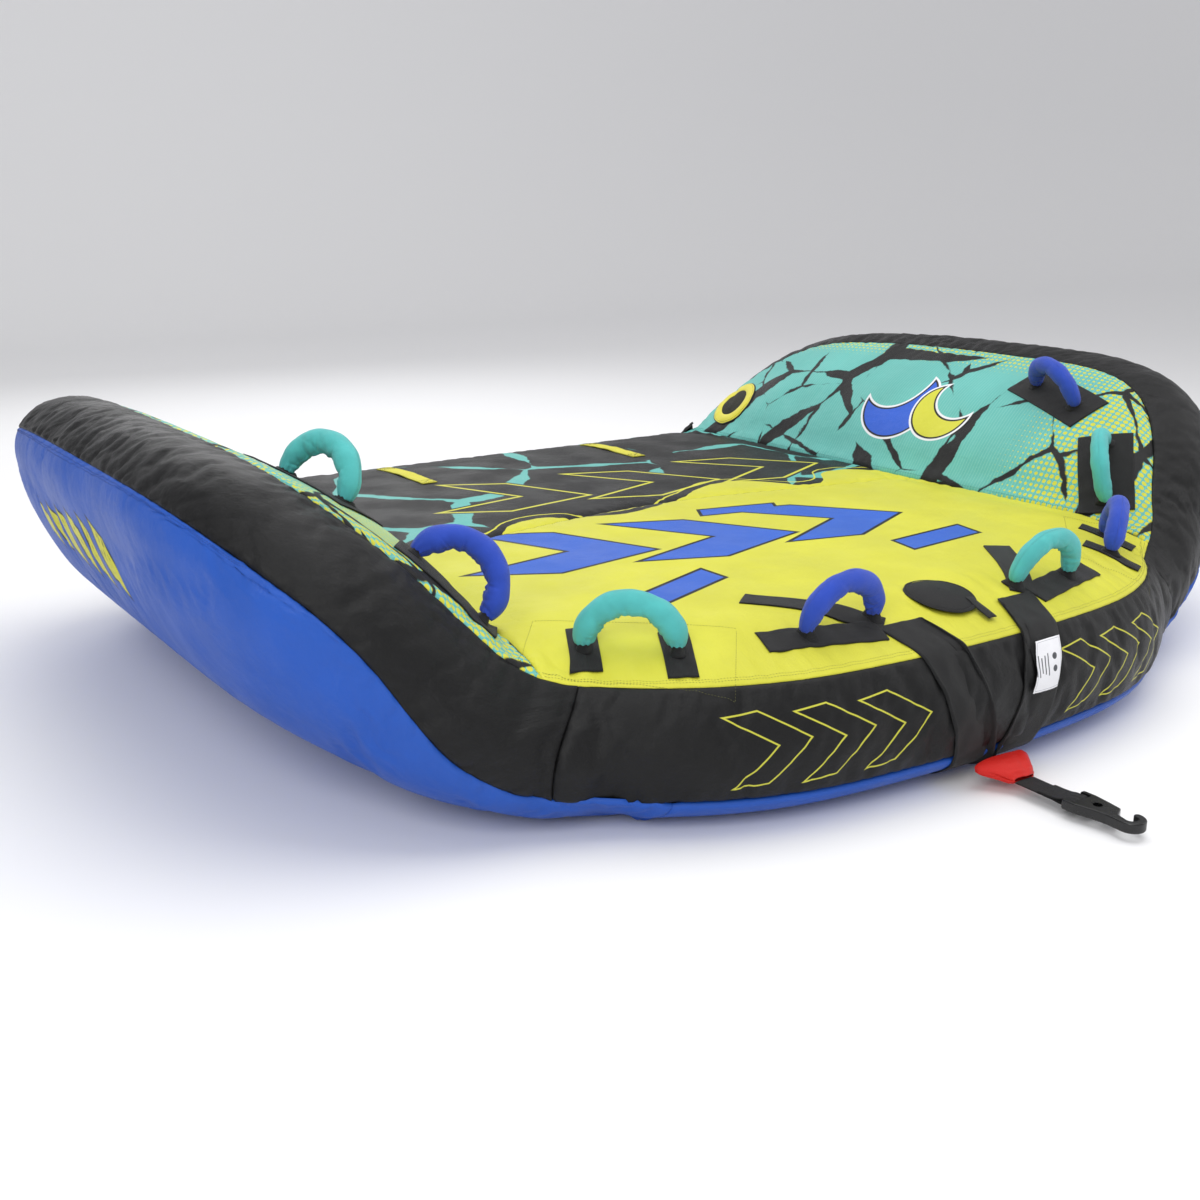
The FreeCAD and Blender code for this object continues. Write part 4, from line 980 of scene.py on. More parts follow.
# ---------------------------------------------------------------- pieces on the cover
class Cover:
    """Ray and nearest lookups on the finished cover."""

    def __init__(self, panels):
        points, faces = [], []
        for panel in panels:
            start = sum(len(p) for p in points)
            points.append(panel.grid.reshape(-1, 3))
            faces += grid_faces(*panel.grid.shape[:2], start)
        self.tree = BVHTree.FromPolygons(np.concatenate(points).tolist(), faces)

    def outward(self, point):
        return self.tree.find_nearest(Vector(point))[1]

    def settle(self, grid, normal, clearance=0.0012, blur=10):
        """The grid moved along its normals onto the cover: it bridges small dips and clears small crests."""
        height = np.full(grid.shape[:2], np.nan)
        for i in range(grid.shape[0]):
            for j in range(grid.shape[1]):
                spot, _, _, gap = self.tree.find_nearest(Vector(grid[i, j]))
                if gap < 0.03:
                    height[i, j] = (np.array(spot) - grid[i, j]) @ normal[i, j]
        height = np.clip(np.where(np.isnan(height), np.nanmedian(height), height), -0.012, 0.012)
        level = softened(height, blur)
        level = level + softened(np.maximum(height - level, 0.0), 2)
        return grid + normal * (softened(level, 4) + clearance)[..., None]

    def drop(self, point, normal, lift):
        """The place on the finished cover under a point, lifted along the normal."""
        hit = self.tree.ray_cast(Vector(point) + Vector(normal) * 0.05, -Vector(normal), 0.12)
        return None if hit[0] is None else (hit[0] + hit[1] * lift, hit[1])


def softened(field, times):
    for _ in range(times):
        wide = np.pad(field, 1, mode="edge")
        beside = wide[:-2, 1:-1] + wide[2:, 1:-1] + wide[1:-1, :-2] + wide[1:-1, 2:]
        field = (wide[1:-1, 1:-1] * 2 + beside) / 6
    return field


def strip_grids(node, step=0.004, smallest=0.002):
    """A grid, lengthwise then across, for each flat strip in a CAD node."""
    mesh, taken, grids = welded(node), [], []
    for area, region in skins(mesh):
        middle = sum((f.calc_center_median() * f.calc_area() for f in region), Vector()) / area
        if area < smallest or any((middle - other).length < 0.007 for other in taken):
            continue
        taken.append(middle)
        loop = np.array(loop_of(region))
        centred = loop - loop.mean(0)
        long_axis, wide_axis = np.linalg.svd(centred, full_matrices=False)[2][:2]
        a = long_axis / np.abs(centred @ long_axis).max()
        b = wide_axis / np.abs(centred @ wide_axis).max()
        side_a, side_b, side_c, side_d = cut_loop(list(loop), [-a - b, a - b, a + b, b - a])
        columns = max(4, round(length_of(side_a) / step))
        rows = max(5, round(length_of(side_b) / step))
        grids.append(coons(spread(side_a, columns), spread(side_b, rows), spread(side_c[::-1], columns),
                           spread(side_d[::-1], rows)))
    return grids


def facing_out(grid, cover):
    """The grid with its normal away from the body, and those normals."""
    normal = normals_of(grid)
    middle = grid[grid.shape[0] // 2, grid.shape[1] // 2]
    if cover.outward(middle).dot(Vector(normal[grid.shape[0] // 2, grid.shape[1] // 2])) < 0:
        grid = grid[:, ::-1]
        normal = normals_of(grid)
    return grid, normal


def strip_flat(grid):
    """Along, across from the middle, and distance to the nearest edge."""
    along, across = run_along(grid, 0), run_along(grid, 1)
    width = across[:, -1:]
    edge = np.minimum.reduce([across, width - across, along, along[-1:] - along])
    return np.stack([along, across - width / 2, edge], axis=-1)


def close_columns(grid, share=0.02):
    """Adds a line just inside both long edges, so that the edge can round off."""
    rows = grid.shape[1] - 1
    places = np.concatenate([[0, share * rows], np.arange(1, rows), [rows - share * rows, rows]])
    return resample(grid, places, 1)


def webbing_strip(name, grid, cover, material, slot, node, thickness=WEB_THICKNESS, layer=0.0):
    """A strap as a thin solid that follows the cover. Returns its upper face and its normals."""
    grid, normal = facing_out(close_columns(grid), cover)
    grid = cover.settle(grid, normal)
    normal = normals_of(grid)
    grid = grid + normal * layer
    fuzz = softened(np.random.default_rng(len(name)).normal(0, WEB_FUZZ, grid.shape[:2]), 9)
    top = grid + normal * (thickness + fuzz[..., None])
    for j in (0, -1):
        top[:, j] -= normal[:, j] * thickness * 0.45
    points, faces = slab(top, top - normal * thickness)
    new_piece(name, points, faces, material, flat=strip_flat(grid), slot=slot, node=node)
    return grid + normal * thickness, normal


STITCH_FACES = [(a, b, 4) for a, b in ((0, 1), (1, 2), (2, 3), (3, 0))]
STITCH_FACES += [(b, a, 5) for a, b, _ in STITCH_FACES]


def stitch_mesh(name, paths, material, body="tube", pitch=0.0052, length=0.0036, width=0.0011, height=0.0005):
    """Rows of raised stitches along paths of (point, normal) pairs."""
    points, faces = [], []
    for path in paths:
        spots = np.array([p for p, _ in path])
        normals = np.array([n for _, n in path])
        run = np.concatenate([[0], np.cumsum(np.linalg.norm(np.diff(spots, axis=0), axis=1))])
        for at in np.arange(pitch / 2, run[-1] - pitch / 2, pitch):
            a, b, middle = (np.array([np.interp(at + d, run, spots[:, k]) for k in range(3)])
                            for d in (-length / 2, length / 2, 0.0))
            normal = np.array([np.interp(at, run, normals[:, k]) for k in range(3)])
            normal /= np.linalg.norm(normal)
            side = np.cross(b - a, normal)
            side *= width / 2 / max(np.linalg.norm(side), 1e-9)
            start = len(points)
            sink = normal * height * 0.6
            points += [a - sink, middle - side - sink * 0.4, b - sink, middle + side - sink * 0.4,
                       middle + normal * height, middle - normal * height]
            faces += [tuple(start + k for k in face) for face in STITCH_FACES]
    new_piece(name, points, faces, material, body)


def seam_row(panel, side, away, lift=SEWN_LIFT):
    """A path on a finished panel at a distance from one of its seams."""
    gap = np.abs(panel.reach[side] - away)
    if side[0] == "v":
        pick = list(enumerate(gap.argmin(axis=1)))
    else:
        pick = [(i, j) for j, i in enumerate(gap.argmin(axis=0))]
    normal = normals_of(panel.grid)
    return [(panel.grid[place] + normal[place] * lift, normal[place]) for place in pick[2:-2]]


def draped(cover, corners, normal, step=0.006, lift=0.0004):
    """A path over the cover through corner points, seen along a normal."""
    path = []
    for a, b in zip(corners, corners[1:]):
        steps = max(2, round((Vector(b) - Vector(a)).length / step))
        for k in range(steps):
            spot = cover.drop(Vector(a).lerp(Vector(b), k / steps), normal, lift)
            if spot:
                path.append((np.array(spot[0]), np.array(spot[1])))
    return path


def grid_path(grid, normal, a, b, steps, lift=0.0):
    """A straight path over a strap's grid from one place on it to another."""
    path = []
    for k in range(steps + 1):
        place = tuple(int(round(a[n] + (b[n] - a[n]) * k / steps)) for n in (0, 1))
        path.append((grid[place] + normal[place] * lift, normal[place]))
    return path


def box_stitch(grid, normal, start, end, inset=0.006):
    """Rectangle and cross stitched over part of a strap, between two shares of its length."""
    rows, columns = grid.shape[:2]
    i0, i1 = int(start * (rows - 1)), int(end * (rows - 1))
    j0 = inset / max(length_of(grid[i0]), 1e-6) * (columns - 1)
    j1 = columns - 1 - j0
    corners = [(i0, j0), (i1, j0), (i1, j1), (i0, j1)]
    pairs = list(zip(corners, corners[1:] + corners[:1])) + [corners[::2], corners[1::2]]
    return [grid_path(grid, normal, a, b, 24, SEWN_LIFT) for a, b in pairs]


def edge_stitch(grid, normal):
    """A row of stitches all round a pad, near its edge."""
    i, j = grid.shape[0] - 3, grid.shape[1] - 4
    corners = [(2, 3), (i, 3), (i, j), (2, j)]
    return [grid_path(grid, normal, a, b, max(abs(b[0] - a[0]), abs(b[1] - a[1])))
            for a, b in zip(corners, corners[1:] + corners[:1])]


# ---------------------------------------------------------------- grips
def joint(name):
    """Place and direction of a joint's axis."""
    found = next(j for j in frame["joints"] if j["name"] == name)
    return Vector(found["pos_m"] if "pos_m" in found else found["pos"]), Vector(found["axis"]).normalized()


def local_points(node, origin, axes):
    return np.array([[(v.co - origin).dot(axis) for axis in axes] for v in NODES[node].data.vertices])


def grip_axes(name):
    """The hinge's middle, the direction along it, across the grip and up, with the grip's sizes."""
    origin, along = joint(f"grip_{name}_swing")
    low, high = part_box(f"grip_{name}")
    up = (low + high) / 2 - origin
    up = (up - along * up.dot(along)).normalized()
    across = up.cross(along)
    sleeve = local_points(f"grip_{name}", origin, (along, across, up))
    core = local_points(f"grip_core_{name}", origin, (along, across, up))
    radius = float(np.ptp(sleeve[:, 1])) / 2
    height = float(sleeve[:, 2].max()) - radius
    foot = core[core[:, 2] < core[:, 2].min() + 0.003]
    half_span = float(np.abs(foot[:, 0]).mean())
    return origin, along, across, up, radius, height, half_span


def grip_creases(chance, arc, theta):
    """Depth of the creases in a grip's cloth: short ones inside the bend and a few right across it."""
    relief = np.zeros((len(arc), len(theta)))

    def line(at, slant, width, middle):
        return np.exp(-((arc[:, None] - at - slant * (theta[None] - middle)) / width) ** 2)
    for _ in range(34):
        at, width = chance.uniform(0.006, arc[-1] - 0.006), chance.uniform(0.0022, 0.0048)
        middle, reach = pi + chance.normal(0, 0.75), chance.uniform(0.5, 1.4)
        slant = chance.normal(0, 0.006)
        fade = np.exp(-((theta[None] - middle) / reach) ** 2)
        relief += chance.uniform(0.5, 1.3) * line(at, slant, width, middle) * fade * 0.0016
    for _ in range(7):
        at, width = chance.uniform(0.02, arc[-1] - 0.02), chance.uniform(0.004, 0.008)
        relief += line(at, chance.normal(0, 0.016), width, pi) * 0.0010
    return relief


def grip_sleeve(name, material, slot, seed):
    """Padded grip: a bent soft tube with creases inside the bend, a seam, and gathered ends."""
    origin, along, across, up, radius, height, half = grip_axes(name)
    bend = (half**2 + height**2) / (2 * height)
    middle = height - bend
    chance = np.random.default_rng(seed)
    first = atan2(GRIP_FOOT - middle, sqrt(max(bend**2 - (GRIP_FOOT - middle) ** 2, 1e-9)))
    phi = np.linspace(first, pi - first, GRIP_RINGS)
    theta = np.linspace(0, 2 * pi, GRIP_AROUND, endpoint=False)
    arc = (phi - phi[0]) * bend
    low = np.clip((middle + bend * np.sin(phi) - GRIP_FOOT) / GRIP_TAPER, 0, 1)
    size = radius * (0.62 + 0.38 * np.sin(low * pi / 2) ** 0.8)
    slow, quick = chance.uniform(0, 6), chance.uniform(0, 6)
    size *= 1 + 0.035 * np.sin(phi * 5 + slow) + 0.02 * np.sin(phi * 11 + quick)
    relief = grip_creases(chance, arc, theta)
    pleats = 0.5 + 0.5 * np.cos(theta * 9 + chance.uniform(0, 6))
    relief += ((1 - low) ** 1.3)[:, None] * pleats[None] * 0.0026
    seam = np.exp(-((theta - pi) / 0.085) ** 2)[None] * 0.0026 * (1 + 0.25 * np.sin(arc[:, None] / 0.006))
    inner = 0.5 - 0.5 * np.cos(theta)
    r = size[:, None] - relief * (0.35 + 0.65 * inner[None]) + seam
    tucks = [(0.15, 0.004), (0.7, 0.0015)] + [(1.0, 0.0)] * GRIP_RINGS + [(0.7, -0.0015), (0.15, -0.004)]
    grid, flat = np.zeros((len(tucks), GRIP_AROUND, 3)), np.zeros((len(tucks), GRIP_AROUND, 3))
    for i, (share, shift) in enumerate(tucks):
        k = min(max(i - 2, 0), GRIP_RINGS - 1)
        out = along * cos(phi[k]) + up * sin(phi[k])
        ahead = up * cos(phi[k]) - along * sin(phi[k])
        centre = origin + up * middle + out * bend + ahead * shift
        for j in range(GRIP_AROUND):
            reach = r[k, j] * share
            grid[i, j] = centre + out * (reach * cos(theta[j])) + across * (reach * 0.94 * sin(theta[j]))
            flat[i, j] = (arc[k], theta[j] * radius, 0)
    points = grid.reshape(-1, 3)
    faces = oriented(points, capped_tube(grid.shape[:2]))
    new_piece(f"grip_sleeve_{name}", points, faces, material, f"grip_{name}", flat, slot, f"grip_{name}")


def grip_feet(name, cover, material):
    """The folded webbing ends that the grip stands on, sewn into its pad."""
    origin, along, across, up, _, _, half = grip_axes(name)
    points, faces = [], []
    for k in (-1, 1):
        base = origin + along * (k * half)
        spot = cover.drop(base, up, 0.0)
        low = (spot[0] - origin).dot(up) if spot else -0.014
        levels = [(low, 0.024, 0.0150), (low + 0.003, 0.0215, 0.0125), (low + 0.007, 0.0175, 0.0105),
                  (-0.0045, 0.0140, 0.0085), (0.0020, 0.0110, 0.0060)]
        faces += capped_tube((len(levels), 24), len(points))
        for z, half_width, half_depth in levels:
            for angle in np.arange(24) * 2 * pi / 24:
                c, s = cos(angle), sin(angle)
                grow = (abs(c) ** 4 + abs(s) ** 4) ** -0.25
                side = across * (half_width * grow * c) + along * (half_depth * grow * s)
                points.append(base + up * z + side)
    flat = [((p - origin).dot(along), (p - origin).dot(across), 0.004) for p in points]
    new_piece(f"grip_feet_{name}", points, oriented(points, faces), material, flat=flat, slot="webbing_black",
              node=f"grip_base_{name}")


# ---------------------------------------------------------------- round pieces, tow end, zip
def polar_solid(name, rings, around, place, thickness, material, body, flat, slot, node):
    """A closed disc or ring: place(ring, angle) gives a point and its normal, and flat its pattern."""
    top, bottom, pattern = (np.zeros((len(rings), around, 3)) for _ in range(3))
    for i, ring in enumerate(rings):
        for j in range(around):
            angle = 2 * pi * j / around
            point, normal = place(ring, angle)
            top[i, j], bottom[i, j] = point, np.array(point) - np.array(normal) * thickness(ring)
            pattern[i, j] = flat(ring, angle)
    new_piece(name, *round_shell(top, bottom), material, body, pattern, slot, node)


def vent(side, cover, look):
    """Padded ring and mesh disc of a vent, lying on the wing."""
    points = points_of(f"vent_ring_{side}")
    centre = Vector((points.min(0) + points.max(0)) / 2)
    normal = cover.outward(centre)
    x_axis = (Vector((0, 1, 0)) - normal * normal.y).normalized()
    y_axis = normal.cross(x_axis)
    radii = np.hypot(*((points - np.array(centre)) @ np.array((x_axis, y_axis)).T).T)
    outer, inner = float(radii.max()), float(radii.min())
    reach = inner + 0.003

    def on_wing(radius, angle, lift):
        spot = centre + x_axis * (radius * cos(angle)) + y_axis * (radius * sin(angle))
        hit = cover.drop(spot, normal, 0.0)
        return (hit[0] if hit else spot) + normal * lift, normal

    def swell(share):
        return max(sin(pi * share), 0) ** 0.6
    shares = [0, 0.015, 0.04, 0.08, 0.14, 0.22, 0.32, 0.44, 0.56, 0.68, 0.78, 0.86, 0.92, 0.96, 0.985, 1]
    polar_solid(f"vent_rim_{side}", shares, 120,
                lambda s, a: on_wing(inner + (outer - inner) * s, a, 0.0014 + 0.0044 * swell(s)),
                lambda s: 0.0012 + 0.003 * swell(s), look["ring"], "tube", lambda s, a: (s, a, 0),
                "vent_ring", f"vent_ring_{side}")
    polar_solid(f"vent_screen_{side}", [0.002] + [k / 14 for k in range(1, 15)], 96,
                lambda s, a: on_wing(reach * s, a, 0.0026 + 0.002 * (1 - s * s)), lambda s: 0.0012,
                look["screen"], "tube", lambda s, a: (reach * s * cos(a), reach * s * sin(a), 0),
                "vent_mesh", f"vent_mesh_{side}")


def valve_flap(look):
    """Round cover flap over the valve, with a bound edge, a row of stitches and a webbing pull tab."""
    low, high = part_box("valve_base")
    centre = (low + high) / 2
    points = points_of("valve_flap")
    radius = float(np.ptp(points[:, 0])) / 2
    tree = tree_of("valve_flap")

    def height(x, y):
        return tree.ray_cast(Vector((x, y, 1.0)), Vector((0, 0, -1)))[0]

    def place(share, angle):
        x, y = radius * share * cos(angle), radius * share * sin(angle)
        hit = height(centre.x + x, centre.y + y) or height(centre.x + 0.985 * x, centre.y + 0.985 * y)
        edge = 0.0011 * np.exp(-((share - 0.955) / 0.03) ** 2)
        groove = 0.0006 * np.exp(-((share - 0.90) / 0.012) ** 2)
        z = (hit.z if hit else high.z) + edge - groove
        return Vector((centre.x + x, centre.y + y, z)), Vector((0, 0, 1))
    shares = [0.01] + [k / 12 for k in range(1, 10)]
    shares += [0.8, 0.85, 0.88, 0.90, 0.92, 0.94, 0.96, 0.98, 0.993, 1.0]
    polar_solid("valve_flap_cover", shares, 112, place, lambda s: 0.0022 if s < 0.99 else 0.0012,
                look["flap"], "valve_flap",
                lambda s, a: (radius * s * cos(a), radius * s * sin(a), radius * (1 - s)),
                "flap_black", "valve_flap")
    tab = points[np.hypot(points[:, 0] - centre.x, points[:, 1] - centre.y) > radius + 0.003]
    x0, x1, y0, y1 = tab[:, 0].min(), tab[:, 0].max(), tab[:, 1].min(), tab[:, 1].max() + 0.014
    grid = np.zeros((14, 9, 3))
    for i, y in enumerate(np.linspace(y1, y0, 14)):
        for j, x in enumerate(np.linspace(x0, x1, 9)):
            hit = height(x, min(max(y, y0 + 0.0004), y1))
            grid[i, j] = (x, y, (hit.z if hit else tab[:, 2].max()) + 0.0012 + 0.0006 * sin(pi * j / 8))
    grid = smoothed(grid, 2)
    points, faces = slab(grid, grid - UP * 0.0018)
    new_piece("valve_flap_tab", points, oriented(points, faces), look["web"], "valve_flap", strip_flat(grid),
              "flap_black")
    ring = [(np.array(place(0.90, 2 * pi * k / 90)[0]) + UP * 0.0005, UP) for k in range(91)]
    stitch_mesh("valve_flap_stitches", [ring], look["thread_dark"], "valve_flap")


def tow_sleeve(material):
    """Red fabric sleeve, pleated where it narrows, with its front end drawn in round the lead."""
    points = points_of("tow_sleeve")
    rear, front = points[:, 1].max(), points[:, 1].min()
    stations, around = 44, 96
    chance = np.random.default_rng(4)
    folds = [(chance.uniform(0, 2 * pi), chance.uniform(0.10, 0.22), chance.uniform(-0.5, 0.5))
             for _ in range(13)]
    sections = []
    for y in np.linspace(rear, front, 9):
        close = points[np.abs(points[:, 1] - y) < 0.009]
        bottom, top = close[:, 2].min(), close[:, 2].max()
        sections.append((np.abs(close[:, 0]).max(), (top + bottom) / 2, (top - bottom) / 2))
    grid, flat = np.zeros((stations + 1, around, 3)), np.zeros((stations + 1, around, 3))
    for i in range(stations + 1):
        t = i / stations
        w, z, h = (np.interp(t, np.linspace(0, 1, 9), column) for column in np.array(sections).T)
        y = rear + (front - rear) * t
        drawn = float(np.clip((t - 0.84) / 0.16, 0, 1)) ** 1.5
        w, h = w + (0.0262 - w) * drawn, h + (0.0042 - h) * drawn
        hem = 0.0008 * np.exp(-((t - 0.93) / 0.02) ** 2)
        for j in range(around):
            angle = 2 * pi * j / around
            c, s = cos(angle), sin(angle)
            grow = (abs(c) ** 2.6 + abs(s) ** 2.6) ** (-1 / 2.6)
            fold = sum(np.exp(-(((angle - at - lean * t + pi) % (2 * pi) - pi) / width) ** 2)
                       for at, width, lean in folds)
            inward = (0.0008 + 0.0024 * t ** 0.8) * fold * (1 - 0.8 * drawn) + hem
            wavy = y + 0.0015 * sin(angle * 3 + 1)
            grid[i, j] = ((w - inward) * grow * c, wavy, z + (h - inward) * grow * s)
            flat[i, j] = (y, angle * 0.04, 0)
    middle = grid.mean(axis=1, keepdims=True)
    inner = middle + (grid - middle) * np.array((0.965, 1.0, 0.80))
    new_piece("tow_sleeve_cloth", *round_shell(grid, inner), material, "tow_sleeve", flat, "nylon_red",
              "tow_sleeve")


def tow_lead(material, thread):
    """Webbing lead that loops round the hook's bar and is sewn back on itself."""
    start, bar = joint("tow_lead_swing")[0], joint("tow_hook_swing")[0]
    low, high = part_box("tow_lead")
    half, z, turn, rows, columns = (high.x - low.x) / 2, bar.z, 0.0062, 91, 15
    path = [(start.y + 0.006, z - 0.0010), (start.y - 0.02, z - 0.0016), (start.y - 0.05, z - 0.0022),
            (bar.y + 0.030, z - 0.0030), (bar.y + 0.016, z - 0.0052), (bar.y + 0.004, z - turn)]
    path += [(bar.y - turn * sin(a), z - turn * cos(a)) for a in np.linspace(0.25, pi - 0.25, 9)]
    path += [(bar.y + 0.004, z + turn), (bar.y + 0.016, z + 0.0040), (bar.y + 0.030, z + 0.0010),
             (bar.y + 0.046, z + 0.0002), (bar.y + 0.064, z + 0.0006)]
    line = spread([(0, y, z) for y, z in path], rows - 1)
    tangent = np.gradient(line, axis=0)
    normal = np.cross(tangent / np.linalg.norm(tangent, axis=1, keepdims=True), np.array((1.0, 0, 0)))
    top, bottom = np.zeros((rows, columns, 3)), np.zeros((rows, columns, 3))
    for i in range(rows):
        near_bar = np.exp(-((line[i, 1] - bar.y) / 0.017) ** 4)
        for j in range(columns):
            share = -1 + 2 * j / (columns - 1)
            side = share * half * (1 - 0.22 * near_bar)
            point = line[i] + np.array((side, 0, 0)) + normal[i] * (0.0005 * near_bar * cos(share * 9))
            thick = 0.0010 if abs(share) < 0.99 else 0.0005
            top[i, j], bottom[i, j] = point + normal[i] * thick, point - normal[i] * thick
    points, faces = slab(top, bottom)
    new_piece("tow_lead_webbing", points, oriented(points, faces), material, "tow_lead",
              strip_flat((top + bottom) / 2), "webbing_lead", "tow_lead")
    upper = top if top[80, 7, 2] > bottom[80, 7, 2] else bottom
    rows = [[(upper[i, j], UP) for i in range(70, 89)] for j in (2, 4, columns - 5, columns - 3)]
    rows += [[(upper[i, j], UP) for j in range(2, columns - 2)] for i in (70, 88)]
    stitch_mesh("tow_lead_stitches", rows, thread, "tow_lead")


def zip_teeth(material, pitch=0.0034):
    """Interlocked coil of the rear zip."""
    low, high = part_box("zip_coils")
    middle = (low + high) / 2
    points, faces = [], []
    for k in range(int((high.x - low.x) / pitch)):
        side = 1 if k % 2 else -1
        z0, z1 = middle.z - side * 0.0012, middle.z + side * 0.0046
        tooth = capped_tube((3, 8), len(points))
        faces += [face if side > 0 else face[::-1] for face in tooth]
        for z, grow in ((z0, 0.7), ((z0 + z1) / 2, 1.0), (z1, 0.8)):
            for angle in 2 * pi * (np.arange(8) + 0.5) / 8:
                points.append((low.x + pitch * (k + 0.5) + pitch * 0.42 * grow * cos(angle),
                               middle.y + (high.y - low.y) / 2 * grow * sin(angle), z))
    new_piece("zip_teeth", points, faces, material, slot="zip_coil", node="zip_coils")


# ---------------------------------------------------------------- the object
def pattern(panel):
    """The panel's own pattern coordinates: what its print is drawn in."""
    grid = panel.base
    if panel.name.startswith("deck"):
        return grid
    if panel.name.startswith(("wing", "bottom_r", "bottom_l")):
        across = panel.reach["v0"]
        return np.stack([across, grid[..., 1], panel.edge], axis=-1)
    u = panel.along["v0"]
    return np.stack([u - u.max(0, keepdims=True) / 2, panel.along["u0"], panel.edge], axis=-1)


def gathers(panels):
    """Puckers along the seams, per kind of panel."""
    for seed, panel in enumerate(panels):
        if panel.kind == "band":
            depth = 0.0042 if panel.name.endswith(SIDES) else 0.0026
            panel.pucker("v0", 0.028, depth, 0.045, 10 + seed, 0.45)
            panel.pucker("v1", 0.034, depth * 0.8, 0.038, 30 + seed, 0.4)
            for side, first in (("u0", 50), ("u1", 70)):
                panel.pucker(side, 0.03, 0.002, 0.03, first + seed)
        elif panel.kind in ("deck", "wing"):
            depth = 0.0016 if panel.kind == "deck" else 0.0022
            for k, side in enumerate(("u0", "u1", "v0", "v1")):
                panel.pucker(side, 0.055, depth, 0.035, 130 + 10 * seed + k, 0.3)
        elif panel.name.endswith(SIDES):
            panel.pucker("v1", 0.045, 0.0030, 0.06, 90 + seed, 0.5)
            for side in ("u0", "u1"):
                panel.pucker(side, 0.04, 0.0026, 0.05, 110 + seed, 0.4)


def finishes():
    """Every material of the new pieces, by its use."""
    look = {"deck": deck_print(), "wing": wing_print(), "band_front": band_print(), "bottom": under_print(),
            "band": plain_nylon("band_black", BLACK, roughness=0.42, wrinkle=0.0018),
            "sleeve": plain_nylon("sleeve_red", RED, roughness=0.5, wrinkle=0.0018),
            "flap": plain_nylon("flap_cloth", rgb(13, 13, 14), roughness=0.55, wrinkle=0.0012),
            "ring": ring_print(), "screen": mesh_print(), "label": label_print(),
            "web": webbing("web_black", rgb(11, 11, 12)),
            "yellow_web": webbing("web_yellow", rgb(224, 216, 62)),
            "lead_web": webbing("web_lead", rgb(13, 13, 14)),
            "grip_teal": quilt("grip_cloth_teal", GRIP_TEAL),
            "grip_blue": quilt("grip_cloth_blue", GRIP_BLUE),
            "zip_coil": plastic("zip_coil_nylon", rgb(26, 26, 28), 0.4)}
    threads = {"dark": (34, 34, 38), "navy": (14, 28, 84), "grey": (112, 112, 60), "black": (58, 58, 62)}
    for name, colour in threads.items():
        look["thread_" + name] = plastic("thread_" + name, rgb(*colour), 0.6)
    return look


def cover_panels(look):
    """The cover's finished panels, by name."""
    base = base_panels()
    settled = run_cloth(base)
    panels = [Panel(name, base[name], settled[name]) for name in base]
    gathers(panels)
    close_seams(panels)
    for panel in panels:
        panel_piece(panel, look.get(panel.name) or look[panel.kind])
    return {panel.name: panel for panel in panels}


def seam_stitches(panels, look):
    rows = {"navy": [(f"bottom_{side}", "v1", away) for side in SIDES for away in (0.010, 0.016)],
            "dark": [(f"wing_{side}", "v0", 0.009) for side in SIDES] + [("deck_front", "v1", 0.008)],
            "grey": [("deck_front", "v0", away) for away in (0.008, 0.014)]}
    for colour, places in rows.items():
        paths = [seam_row(panels[name], side, away) for name, side, away in places]
        stitch_mesh(f"seam_stitches_{colour}", paths, look[f"thread_{colour}"])


def grip_pads(name, cover, look):
    """Pads or tabs and feet of one grip. Returns the stitches round its pads."""
    rows = []
    for k, grid in enumerate(strip_grids(f"grip_base_{name}")):
        rows += edge_stitch(*webbing_strip(f"grip_pad_{name}_{k}", grid, cover, look["web"], "webbing_black",
                                           f"grip_base_{name}"))
    grip_feet(name, cover, look["web"])
    if name.startswith("corner"):
        origin, along, across, up = grip_axes(name)[:4]
        box = [origin + along * (a * 0.17) + across * (b * 0.082)
               for a, b in ((-1, -1), (1, -1), (1, 1), (-1, 1), (-1, -1))]
        stitch_mesh(f"corner_stitches_{name[7:]}", [draped(cover, box, up)], look["thread_grey"])
    return rows


def sewn_on(cover, look):
    """Everything that is sewn on the cover: harness, boarding straps, vents, pads and the label."""
    rows = []
    for side in SIDES:
        for k, grid in enumerate(strip_grids(f"tow_strap_{side}")):
            top, normal = webbing_strip(f"tow_web_{side}_{k}", grid, cover, look["web"], "webbing_black",
                                        f"tow_strap_{side}")
            last = top.shape[0] - 3
            for j in (3, top.shape[1] - 4):
                rows.append(grid_path(top, normal, (2, j), (last, j), last - 2, 0.0002))
        for k, grid in enumerate(strip_grids(f"boarding_strap_{side}")):
            strap = webbing_strip(f"boarding_web_{side}_{k}", grid, cover, look["yellow_web"],
                                  "webbing_yellow", f"boarding_strap_{side}")
            ends = box_stitch(*strap, 0.02, 0.13) + box_stitch(*strap, 0.87, 0.98)
            stitch_mesh(f"boarding_stitches_{side}", ends, look["thread_dark"])
        vent(side, cover, look)
        for spot in ("centre", "corner", "wing_front", "wing_rear"):
            rows += grip_pads(f"{spot}_{side}", cover, look)
    stitch_mesh("webbing_stitches", rows, look["thread_black"])
    for grid in strip_grids("label_tag", 0.003):
        webbing_strip("label_cloth", grid, cover, look["label"], "label_white", "label_tag", 0.0005, 0.0034)


